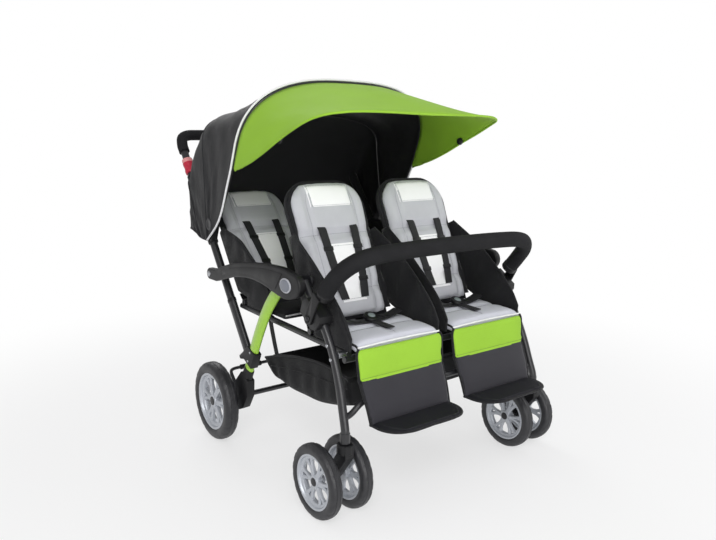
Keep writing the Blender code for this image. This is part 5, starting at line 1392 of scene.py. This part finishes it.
for row, (front_y, rear_y) in SEAT_PADS.items():
    for label, side in SIDES.items():
        x = side * SEAT_X
        ending = "%s_%s" % (row, label)

        def seat_at(u, v, height):
            y = front_y + (rear_y - front_y) * v
            half = SEAT_HALF - 0.0032 - 0.003 * (1 - v) ** 3
            return Vector((x + half * u, y, pad_floor(y) + height))

        def top_at(u, v):
            return seat_at(u, v, seat_height(u, v) * 0.92)

        # The rear cushions' charcoal cloth is painted shade.
        pad_cloth = LAVENDER if row == "front" else REAR_SEAT_PAINTED_SHADE
        pad = pad_mesh("seat_cushion_" + ending, top_at, lambda u, v: seat_at(u, v, 0.0004), 30, 20,
                       pad_cloth)
        puffed(pad, 3.0, 0.003, lambda place: channel((place.y - front_y) / (rear_y - front_y), 0.50, 0.09))
        pressed(pad, Vector((x, front_y, pad_floor(front_y))), Vector((0, -RAIL_SLOPE, 1)).normalized())
        softened(pad)
        seat_cloth = cloth_of(pad)
        fit(pad, "root", ["seat_pad_" + ending])

        def on_seat(u, v, lift):
            return laid(seat_cloth, top_at(u, v), UPWARD, lift)

        trims = []
        for away in (1, -1):
            trims += wing(row, x, away)
            border = [on_seat(away * 0.965, v, 0.0005) for v in steps(0, 1, 16)]
            trims.append(cord_along("side_welt", border, 0.0032))
        front_line = [Vector((x + (SEAT_HALF - 0.010) * t, front_y - 0.0004,
                              pad_floor(front_y) + 0.0125 + 0.003 * (1 - t ** 2))) for t in steps(-1, 1, 24)]
        trims.append(cord_along("front_piping", front_line, 0.0026, FORWARD, PIPING_WHITE))
        seams = [[on_seat(u, 0.50, 0.0003) for u in steps(-0.93, 0.93, 20)],
                 [on_seat(0.0, v, 0.0003) for v in steps(0.12, 0.92, 16)]]
        # Black thread on the rear cushions goes with their painted shade.
        trims.append(stitched("seat_seams", seams, THREAD_GREY if row == "front" else THREAD_BLACK))
        floor, (hinge_y, hinge_z) = pad_floor(rear_y), HINGES[row]
        gusset = smooth_path([(x, rear_y - 0.006, floor + 0.006), (x, rear_y + 0.004, floor - 0.004),
                              (x, hinge_y + 0.004, hinge_z - 0.0195), (x, hinge_y + 0.028, hinge_z - 0.016),
                              on_back(row, x, 0.022, -0.034), on_back(row, x, 0.050, -0.037)], 4)
        ways = [b - a for a, b in zip(gusset[:-1] + gusset[-2:-1], gusset[1:] + gusset[-1:])]
        facing = [Vector((0, -way.z, way.y)).normalized() for way in ways]
        trims.append(strip("gusset", gusset, facing, 0.136, 0.0016, PLAIN_BLACK))
        fit(joined("seat_wings_" + ending, trims), "root")

# Harness
# A lap belt lies across each seat pad and closes in a round buckle with a pale release
# button. Short webbing tongues run from it to the hips and down between the legs.
BUCKLE_FACE = plastic("buckle_button_grey", colour(128, 138, 140), 0.32)
BUCKLE = [(0.0004, 0.0006), (0.0200, 0.0006), (0.0212, 0.0022), (0.0212, 0.0078), (0.0196, 0.0104),
          (0.0120, 0.0118), (0.0112, 0.0110), (0.0004, 0.0110)]
BUCKLE_BUTTON = [(0.0004, 0.0100), (0.0104, 0.0100), (0.0104, 0.0118), (0.0090, 0.0128), (0.0004, 0.0130)]
for row, (front_y, rear_y) in SEAT_PADS.items():
    for label, side in SIDES.items():
        x = side * SEAT_X
        y = rear_y - 0.057
        low = pad_floor(y) + 0.0314
        points = [Vector((x + 0.112 * t, y + 0.018 * t ** 2, low + 0.0016 + 0.012 * t ** 2))
                  for t in steps(-1, 1, 16)]
        tongue = [Vector((x, y - 0.018 - 0.010 * t, low + 0.0042 - 0.0004 * t)) for t in range(8)]
        parts = [strip("lap_belt", points, [UPWARD] * 17, 0.019, 0.0030, STRAP_BLACK, 0.1, FORWARD),
                 strip("crotch_strap", tongue, [UPWARD] * 8, 0.0125, 0.0024, STRAP_BLACK, 0.1)]
        lie = Matrix.Translation((x, y, low + 0.007)) @ Matrix.Rotation(radians(20), 4, "X")
        for name, profile, finish in (("buckle", BUCKLE, BLACK_PLASTIC),
                                      ("button", BUCKLE_BUTTON, BUCKLE_FACE)):
            turned = lathe(name, profile, (0, 0, 0), 36, finish)
            turned.data.transform(lie @ Matrix.Rotation(-pi / 2, 4, "Y"))
            parts.append(turned)
        for clip_x in (-0.052, 0.052):
            outline = [(x + clip_x + a * 0.011, y + 0.004 + b * 0.0155)
                       for a, b in ((-1, -1), (1, -1), (1, 1), (-1, 1))]
            near, far = [[(a, b, low + height) for a, b in outline] for height in (0.0022, 0.0086)]
            parts.append(from_bmesh("clip", slab(near, far, 0.002, 3, 30), BLACK_PLASTIC, 40))
        fit(joined("lap_harness_%s_%s" % (row, label), parts), "root",
            ["harness_%s_%s" % (row, label)])

# Leg rests
# Each front seat has a cloth covered board that hangs before the legs, lime green above
# and black below, and a padded black footrest with a bound edge at its foot.
CALF_PATH = [(-0.4400, 0.4340), (-0.4425, 0.400), (-0.450, 0.348), (-0.473, 0.292), (-0.4872, 0.2465)]
BAND_FOOT_Z = 0.352
CALF_THICKNESS = 0.008
GREEN_SHOWN = colour(153, 200, 57)
GREEN_BAND = cloth("green_band_weave", GREEN_SHOWN, 0.0013, 0.05, 0.72, 0.25, False, 0.0005, 0.08)
LOWER_BLACK = cloth("calf_black_weave", colour(47, 46, 52), 0.0012, 0.2, 0.62, 0.30, False)
TRAY_FRONT_Y, TRAY_REAR_Y, TRAY_CORNER = -0.575, -0.4775, 0.070
TRAY_BLACK = cloth("footrest_black_weave", colour(27, 26, 34), 0.0012, 0.0, 0.66, 0.30, False)
calf_line = side_path(CALF_PATH, 9)
calf_runs = [0.0]
for a, b in zip(calf_line, calf_line[1:]):
    calf_runs.append(calf_runs[-1] + (b - a).length)


def calf_half(v):
    """Half width of the calf board, with its top corners rounded."""
    corner = max(0.0, 1 - v / 0.13)
    return 0.147 - 0.012 * v - 0.010 * (1 - sqrt(1 - min(corner, 0.98) ** 2))


def on_calf(v):
    """Point and outward normal of the calf board's outer face, v from 0 at the top to 1."""
    run = v * calf_runs[-1]
    index = max(i for i, r in enumerate(calf_runs[:-1]) if r <= run + 1e-9)
    step = (run - calf_runs[index]) / (calf_runs[index + 1] - calf_runs[index])
    point = calf_line[index].lerp(calf_line[index + 1], step)
    along = (calf_line[index + 1] - calf_line[index]).normalized()
    return point, Vector((0, along.z, -along.y))


band_share = max(v / 100 for v in range(101) if on_calf(v / 100)[0].z >= BAND_FOOT_Z)
for label, side in SIDES.items():
    x = side * SEAT_X

    def face_at(u, v, lift=0.0):
        point, normal = on_calf(v)
        half = calf_half(v)
        crown = 0.0035 * (pillow(u, v, 0.0, 6, 8) - 0.35)
        crown -= 0.0035 * channel(v, band_share, 0.035)
        return Vector((x + half * u, point.y, point.z)) + normal * (crown + lift)

    def back_at(u, v):
        point, normal = on_calf(v)
        return Vector((x + calf_half(v) * u, point.y, point.z)) - normal * CALF_THICKNESS

    calf = pad_mesh("calf_pad_" + label, face_at, back_at, 30, 32, GREEN_BAND)
    puffed(calf, 1.5, 0.0015)
    softened(calf)
    calf.data.materials.append(LOWER_BLACK)
    for polygon in calf.data.polygons:
        polygon.material_index = 1 if polygon.center.z < BAND_FOOT_Z else 0
    fit(calf, "root", ["leg_rest_" + label])

    def tray_half(v):
        over = (TRAY_FRONT_Y - TRAY_REAR_Y) * (1 - v) + TRAY_CORNER
        round_off = TRAY_CORNER - sqrt(max(0.0, TRAY_CORNER ** 2 - min(over, 0.0699) ** 2))
        return 0.135 - (round_off if over > 0 else 0.0)

    def tray_at(u, v, thickness):
        eased_v = 1 - (1 - v) ** 1.3
        rim_lift = 0.0042 * ((max(0.0, abs(u) - 0.55) / 0.45) ** 2 + max(0.0, (v - 0.55) / 0.45) ** 2)
        return Vector((x + tray_half(eased_v) * u * 0.995,
                       TRAY_REAR_Y + (TRAY_FRONT_Y + 0.0008 - TRAY_REAR_Y) * eased_v,
                       0.2415 + thickness * pillow(u, v, 0.45, 8, 8) + rim_lift * 0.6))

    def tray_top(u, v):
        return tray_at(u, v, 0.0105)

    tray = pad_mesh("footrest_pad_" + label, tray_top, lambda u, v: tray_at(u, v, 0.0), 28, 20, TRAY_BLACK)
    puffed(tray, 1.5, 0.0015)
    softened(tray)
    fit(tray, "root")
    trims = [cord_along("calf_binding", [face_at(u, v, -0.0030) for v in steps(0, 1, 24)], 0.0034)
             for u in (-1, 1)]
    seam = [face_at(u, band_share, 0.0012) for u in steps(-0.985, 0.985, 24)]
    trims.append(cord_along("band_seam", seam, 0.0016, FORWARD))
    crease = [tray_top(u, 0.0) + Vector((0, -0.003, 0.0005)) for u in steps(-0.97, 0.97, 24)]
    trims.append(cord_along("foot_crease", crease, 0.0020, FORWARD))
    rim_line = [tray_top(1, v) for v in steps(0, 1, 24)] + [tray_top(-1, v) for v in steps(1, 0, 24)]
    rim_line = [p + Vector((0, 0.0006, -0.0020)) for p in rim_line]
    trims.append(cord_along("tray_welt", rim_line, 0.0026, UPWARD))
    rows = [[face_at(u, band_share + offset, 0.0004) for u in steps(-0.94, 0.94, 24)]
            for offset in (-0.03, 0.03)]
    trims.append(stitched("band_stitches", rows, THREAD_BLACK))
    inset = [tray_top(0.86 * c, r) + Vector((0, 0, 0.0008)) for c, r in
             [(1, 0.15 + 0.05 * t) for t in range(14)] + [(1 - t / 10, 0.83) for t in range(1, 20)]
             + [(-1, 0.80 - 0.05 * t) for t in range(14)]]
    trims.append(stitched("tray_stitches", [inset], THREAD_BLACK))
    fit(joined("leg_rest_trim_" + label, trims), "root")

# Canopy bows and clamps
# Two spring-steel wires arch over the seats. They pivot on clamps that grip the handle,
# and the front one folds back towards the rear one, which stands still.
CANOPY_PIVOT = (0.280, 0.684)
HOOD_HALF = 0.360


def arch(foot, spring, top, half_width, power, side_points, arch_points, bend=None):
    """Half of a canopy line: up the side from its foot, then over to the middle."""
    if bend:
        dense = side_curve(list(bend) + [spring], 12)
        side_line = [dense[round(i * (len(dense) - 1) / side_points)] for i in range(side_points)]
    else:
        side_line = [tuple(Vector(foot).lerp(Vector(spring), i / side_points)) for i in range(side_points)]
    half = [(half_width, y, z) for y, z in side_line]
    for index in range(arch_points + 1):
        angle = pi / 2 * index / arch_points
        x = half_width * max(cos(angle), 0) ** (2 / power)
        place = Vector(spring).lerp(Vector(top), sin(angle) ** (2 / power))
        half.append((x if index < arch_points else 0, place.x, place.y))
    return half


def both_halves(half):
    return half + [(-x, y, z) for x, y, z in reversed(half[:-1])]


BOW_POWER = 2.8
BOW_SECTION = round_section(0.0034, 14)
bow_half = arch(None, (0.106, 0.900), (0.0117, 1.1225), 0.3537, BOW_POWER, 6, 16,
                [CANOPY_PIVOT, (0.225, 0.715), (0.186, 0.752), (0.150, 0.815), (0.124, 0.861)])
parts = [sweep("bow", both_halves(bow_half), BOW_SECTION, FRAME_PAINT, across=FORWARD)]
for side in SIDES.values():
    parts.append(rod("eye", (side * 0.3503, *CANOPY_PIVOT), (side * 0.3571, *CANOPY_PIVOT), 0.008,
                     FRAME_PAINT))
fit(joined("canopy_front_wire", parts), "canopy_front", ["canopy_front_bow"])
rear_half = arch(None, (0.312, 0.915), (0.310, 1.0385), 0.3462, 3.2, 6, 16,
                 [CANOPY_PIVOT, (0.288, 0.740), (0.302, 0.830)])
parts = [sweep("bow", both_halves(rear_half), BOW_SECTION, FRAME_PAINT, across=FORWARD)]
clamp_middle = (Vector(CANOPY_PIVOT) - HANDLE_FOOT).dot(HANDLE_DIRECTION) - 0.020
base = Vector(on_handle(clamp_middle))
low_end, high_end = base - HANDLE_DIRECTION * 0.015, base + HANDLE_DIRECTION * 0.015
clamp_arm = [tuple(low_end), tuple(low_end + HANDLE_NORMAL * 0.022)] + arc(CANOPY_PIVOT, 0.010, 215, 55, 14)
clamp_arm += [tuple(high_end + HANDLE_NORMAL * 0.016), tuple(high_end)]
for side in SIDES.values():
    clamp = [(side * HANDLE_X, *on_handle(clamp_middle + d)) for d in (-0.017, -0.006, 0.006, 0.017)]
    parts.append(sweep("clamp", clamp, round_section(0.0165, 32), BLACK_PLASTIC, 0.002))
    parts.append(plate("arm", clamp_arm, side * 0.329, side * 0.3494, BLACK_PLASTIC, 0.002, 3))
    parts.append(rod("pin", (side * 0.331, *CANOPY_PIVOT), (side * 0.3575, *CANOPY_PIVOT), 0.0028, STEEL))
fit(joined("canopy_rear_wire", parts), "handle", ["canopy_rear_bow"])

# Canopy cover
# One curved sheet of black polyester, coated inside, stretched over both bows from the front
# one down behind the rear seats. White piping joins it to the visor, and its edges are bound.
HOOD_BLACK = cloth("canopy_black_weave", colour(22, 22, 25), 0.0012, 0.15, 0.66, 0.55)
VISOR_GREEN = cloth("visor_green_weave", GREEN_SHOWN, 0.0013, 0.05, 0.70, 0.30, True, 0.0005, 0.08)
HOOD_STATIONS = [
    ((0.303, 0.632), (0.170, 0.925), (0.105, 1.098), 2.85),
    ((0.304, 0.632), (0.245, 0.935), (0.210, 1.066), 2.95),
    ((0.306, 0.631), (0.314, 0.930), (0.312, 1.045), 3.2),
    ((0.330, 0.632), (0.392, 0.848), (0.412, 0.945), 4.0),
    ((0.360, 0.636), (0.430, 0.785), (0.455, 0.845), 4.5),
    ((0.380, 0.645), (0.424, 0.715), (0.462, 0.750), 4.5),
    ((0.397, 0.650), (0.415, 0.655), (0.462, 0.662), 4.5)]
CLOTH_THICKNESS = 0.002
HOOD_SIDE_POINTS, HOOD_ARCH_POINTS, HOOD_STEPS = 12, 22, 4
stations = [arch(None, (0.106, 0.900), (0.0137, 1.130), HOOD_HALF, BOW_POWER, HOOD_SIDE_POINTS,
                 HOOD_ARCH_POINTS,
                 [(0.302, 0.632), (0.225, 0.690), (0.186, 0.742), (0.150, 0.812), (0.124, 0.860)])]
stations += [arch(foot, spring, top, HOOD_HALF, power, HOOD_SIDE_POINTS, HOOD_ARCH_POINTS)
             for foot, spring, top, power in HOOD_STATIONS]


def sheet_between(name, lines, finish, outward, ripple, thickness=CLOTH_THICKNESS):
    """A thin cloth over lines of points, its length and width in its UV map, with the thickness inside."""
    rows, columns = len(lines), len(lines[0])
    lines = [[Vector(p) for p in line] for line in lines]
    widths = [0.0]
    for a, b in zip(lines[rows // 2], lines[rows // 2][1:]):
        widths.append(widths[-1] + (b - a).length)
    uvs, run = [], 0.0
    for j, line in enumerate(lines):
        run += (line[columns // 2] - lines[max(j - 1, 0)][columns // 2]).length
        uvs += [(width, run) for width in widths]
    faces = [(a, a + 1, a + 1 + columns, a + columns) for a in
             (j * columns + i for j in range(rows - 1) for i in range(columns - 1))]
    bm = drafted([p for line in lines for p in line], faces, uvs)
    bm.faces.ensure_lookup_table()
    if bm.faces[len(bm.faces) // 2 + columns // 2].normal.dot(Vector(outward)) < 0:
        bmesh.ops.reverse_faces(bm, faces=bm.faces)
    bm.normal_update()
    for vert in bm.verts:
        down, over = vert.index // columns / (rows - 1), vert.index % columns / (columns - 1)
        vert.co += vert.normal * ripple(down, over)
    return thickened(from_bmesh(name, bm, finish, 180), thickness, -1.0)


columns = [smooth_path([station[i] for station in stations], HOOD_STEPS) for i in range(len(stations[0]))]
hood_rows = [[(HOOD_HALF if i <= HOOD_SIDE_POINTS else column[j].x, column[j].y, column[j].z)
              for i, column in enumerate(columns)] for j in range(len(columns[0]))]
hood_lines = [both_halves(line[:-1] + [(0.0, *line[-1][1:])]) for line in hood_rows]


def hood_ripple(down, across):
    """Slack between the bows, and drawn folds that fan from the clamps and the back corners."""
    bows = (0.0, 3 / 7, 1.0)
    near = min(abs(down - b) for b in bows)
    height = 1 - abs(2 * across - 1)
    slack = -0.0030 * min(1.0, near / 0.15) * min(1.0, height * 4)
    fold = sin(down * 37 + across * 55) * 0.0019 + sin(down * 71 - across * 31) * 0.0012
    return slack + fold * min(1.0, near / 0.06) * (0.35 + 0.65 * (1 - height))


hood = sheet_between("canopy_hood", hood_lines, HOOD_BLACK, UPWARD, hood_ripple)
trims = []
for side in SIDES.values():
    reach = []
    for vertex in hood.data.vertices:
        place = Vector(vertex.co.yz) - HANDLE_FOOT
        along = place.dot(HANDLE_DIRECTION)
        radial = hypot(vertex.co.x - side * HANDLE_X, (place - HANDLE_DIRECTION * along).length)
        if radial < 0.024 and 0.40 < along < 0.75:
            reach.append(along)
    sleeve_ends = [(side * HANDLE_X, *on_handle(d)) for d in (min(reach) - 0.004, max(reach) + 0.004)]
    trims.append(rod("sleeve", *sleeve_ends, 0.0169, BINDING, 0.001, 32))
    tool_ends = [(side * HANDLE_X, *on_handle(d)) for d in (0.52, 0.72)]
    bored(hood, rod("tool", *tool_ends, 0.0172, HOOD_BLACK, 0.0, 24))
hood.data.shade_smooth()
hood.data.set_sharp_from_angle(angle=radians(60))
fit(hood, None, ["canopy_cover"])
FOLD_START, FOLD_END = (0.0, 0.178, 1.225), (0.0, 0.0137, 1.130)
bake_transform(hood)
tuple(FOLD_START)
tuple(FOLD_END)

boss = [(0.0004, 0.0), (0.0195, 0.0), (0.0200, 0.0006), (0.0192, 0.0018), (0.0150, 0.0024), (0.0140, 0.0018),
        (0.0004, 0.0018)]
for side in SIDES.values():
    trims.append(lathe("clamp_boss", boss, (side * HOOD_HALF, 0.286, 0.684), 36, HUB_BLACK, side=side))
foot_line = [line[0] for line in hood_rows]
other_foot_line = [(-x, y, z) for x, y, z in foot_line]
for line, across in ((foot_line, SIDEWAYS), (other_foot_line, SIDEWAYS), (hood_lines[-1], FORWARD)):
    points = [Vector(p) + Vector((-0.001 if p[0] > 0 else 0.001, 0, 0)) for p in line]
    trims.append(cord_along("edge_binding", points, 0.0030, across))
for row in (3 * HOOD_STEPS, 5 * HOOD_STEPS):
    seam = [Vector(p) + Vector((0, 0, 0.0004)) for p in hood_lines[row]]
    trims.append(cord_along("panel_seam", seam, 0.0014, FORWARD, sides=6))
canopy_trim = joined("canopy_bindings", trims)
fit(canopy_trim, None)
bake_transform(canopy_trim)
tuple(FOLD_START)
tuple(FOLD_END)
piping = cord_along("canopy_piping", hood_lines[0], 0.0032, FORWARD, PIPING_WHITE, 10)
fit(piping, "canopy_front")

# Visor
# A lime green shade sewn to the front bow. A thin sprung wire in its hem holds its
# wide rim out over the front seats, and a black snap inside each edge holds it folded back.
VISOR_RIM = [(0.3500, 0.1080, 0.868), (0.3510, 0.040, 0.879), (0.3510, -0.045, 0.908),
             (0.3485, -0.130, 0.944), (0.3450, -0.200, 0.972), (0.3340, -0.262, 0.996),
             (0.3120, -0.308, 1.009), (0.2650, -0.338, 1.016), (0.2100, -0.352, 1.018),
             (0.1400, -0.358, 1.018), (0.0700, -0.3600, 1.017), (0.0, -0.3600, 1.016)]
near_half = [(0.3535, 0.1152, 0.8685), (0.3535, 0.1106, 0.8785)]
near_half += arch(None, (0.1024, 0.8985), (0.0081, 1.1210), 0.3535, BOW_POWER, 0, 9)
rim_curve = smooth_path(VISOR_RIM, 5)
near_curve = smooth_path(near_half, 5)
VISOR_ROWS = 16
visor_lines = []
for row in range(VISOR_ROWS + 1):
    share = row / VISOR_ROWS
    line = []
    for near, far in zip(near_curve, rim_curve):
        point = near.lerp(far, share)
        bulge = (1 - (2 * share - 1) ** 2) * (0.024 * (1 - near.x / 0.3535) - 0.012)
        line.append((max(point.x, 0.0), point.y, point.z + bulge))
    visor_lines.append(both_halves(line[:-1] + [(0.0, *line[-1][1:])]))


def visor_ripple(down, across):
    return sin(across * 44 + down * 9) * 0.0009 * down * (1 - down) * 4


visor = sheet_between("visor_shade", visor_lines, VISOR_GREEN, UPWARD, visor_ripple)
hem_line = [Vector(p) + Vector((0, 0, -0.001)) for p in visor_lines[-1]]
knobs = [cord_along("hem", hem_line, 0.0034, UPWARD, VISOR_GREEN, 10)]
snap_x, snap_y, snap_z = rim_curve[15]
SNAP = [(0.0004, 0.0), (0.011, 0.0), (0.012, -0.002), (0.0105, -0.007), (0.005, -0.0095), (0.0004, -0.010)]
for side in SIDES.values():
    place = (side * (snap_x - 0.0045), snap_y, snap_z + 0.004)
    knobs.append(lathe("snap", SNAP, place, 24, HUB_BLACK, side=side))
fit(joined("visor_hem_and_snaps", knobs), "canopy_front")
fit(visor, "canopy_front", ["visor"])

# Storage basket
# A wide black polyester bin sewn from panels with a bound rim. It hangs under the seats
# on four webbing straps that are stitched to the rim and looped over the side rails.
BASKET_BLACK = cloth("basket_black_weave", colour(17, 17, 20), 0.0014, 0.1, 0.72, 0.60)
BASKET_HALF = 0.292
BASKET_FLOOR = [(-0.366, 0.255), (-0.258, 0.224), (-0.160, 0.213), (-0.050, 0.213), (0.010, 0.225)]
BASKET_RIM = [(-0.372, 0.336), (-0.276, 0.345), (-0.179, 0.340), (-0.050, 0.318), (0.060, 0.285)]
floor_line, rim_line = side_path(BASKET_FLOOR, 8), side_path(BASKET_RIM, 8)
END_STEPS = (0.0, 0.2, 0.4, 0.6, 0.8)


def basket_ring(floor, rim):
    """Half of a cross section, from the rim down the side and over the floor to the middle."""
    half = [Vector((BASKET_HALF * wide, *rim.lerp(floor, drop).yz)) for wide, drop in
            ((1.0, 0.0), (0.987, 0.35), (0.975, 0.70), (0.945, 0.92), (0.90, 1.0))]
    half += [Vector((BASKET_HALF * wide, floor.y, floor.z - sag)) for wide, sag in
             ((0.60, 0.0006), (0.30, 0.0010), (0.0, 0.0012))]
    return [(max(p.x, 0.0), p.y, p.z) for p in smooth_path(half, 5)]


def basket_end(ring, rim, shares):
    """An end panel, from its rim to the nearest ring or back."""
    return [both_halves([(x, rim.y + (y - rim.y) * s, rim.z + (z - rim.z) * s) for x, y, z in ring])
            for s in shares]


rings = [basket_ring(floor, rim) for floor, rim in zip(floor_line, rim_line)]
basket_lines = basket_end(rings[0], rim_line[0], END_STEPS) + [both_halves(ring) for ring in rings]
basket_lines += basket_end(rings[-1], rim_line[-1], END_STEPS[::-1])


def basket_ripple(down, across):
    height = abs(2 * across - 1)
    side_share = max(0.0, (height - 0.55) / 0.45)
    drawn = sin(down * 52) * 0.0022 * side_share * (1 - side_share) * 4
    return drawn + sin(down * 23 + across * 40) * 0.0008


bin_sheet = sheet_between("basket_bin", basket_lines, BASKET_BLACK, -UPWARD, basket_ripple, 0.0025)
fit(bin_sheet, "root", ["basket"])
trims = []
for side in SIDES.values():
    rim_path = [Vector((side * (BASKET_HALF - 0.001), p.y, p.z)) for p in rim_line]
    trims.append(cord_along("rim_binding", rim_path, 0.0036))
    seam = [Vector((side * (BASKET_HALF * 0.987 + 0.0012), *rim.lerp(floor, 0.36).yz))
            for floor, rim in zip(floor_line, rim_line)]
    trims.append(cord_along("side_seam", seam, 0.0014, sides=6))
for (y, z), proud, wide in ((BASKET_RIM[0], 0.001, BASKET_HALF - 0.001),
                            (BASKET_RIM[-1], -0.001, -BASKET_HALF)):
    end_rim = [Vector((wide * share, y + proud, z)) for share in steps(0.9, -0.9, 18)]
    trims.append(cord_along("rim_binding", end_rim, 0.0036, FORWARD))
fit(joined("basket_bindings", trims), "root")
straps = []
loop_radius = RAIL_RADIUS + 0.0009
loop_turns = [(cos(radians(a)), sin(radians(a))) for a in steps(200, 540, 20)]
for y, rim_z in ((-0.325, 0.340), (-0.010, 0.307)):
    for side in SIDES.values():
        low_point = Vector((side * (BASKET_HALF - 0.0035), y, rim_z - 0.022))
        high_point = Vector((side * 0.3095, y, rail_z(y) - 0.0104))
        line = smooth_path([low_point, low_point + Vector((side * 0.0012, 0, 0.018)),
                            low_point.lerp(high_point, 0.5),
                            high_point + Vector((0, 0, -0.006)), high_point], 5)
        straps.append(strip("hanger", line, [SIDEWAYS * side] * len(line), 0.012, 0.0016, STRAP_BLACK, 0.0,
                            FORWARD))
        loop = [Vector((side * (RAIL_X + loop_radius * a), y, rail_z(y) + loop_radius * b))
                for a, b in loop_turns]
        outward = [Vector((side * a, 0, b)) for a, b in loop_turns]
        straps.append(strip("loop", loop, outward, 0.012, 0.0016, STRAP_BLACK, 0.0, FORWARD))
fit(joined("basket_hangers", straps), "root")
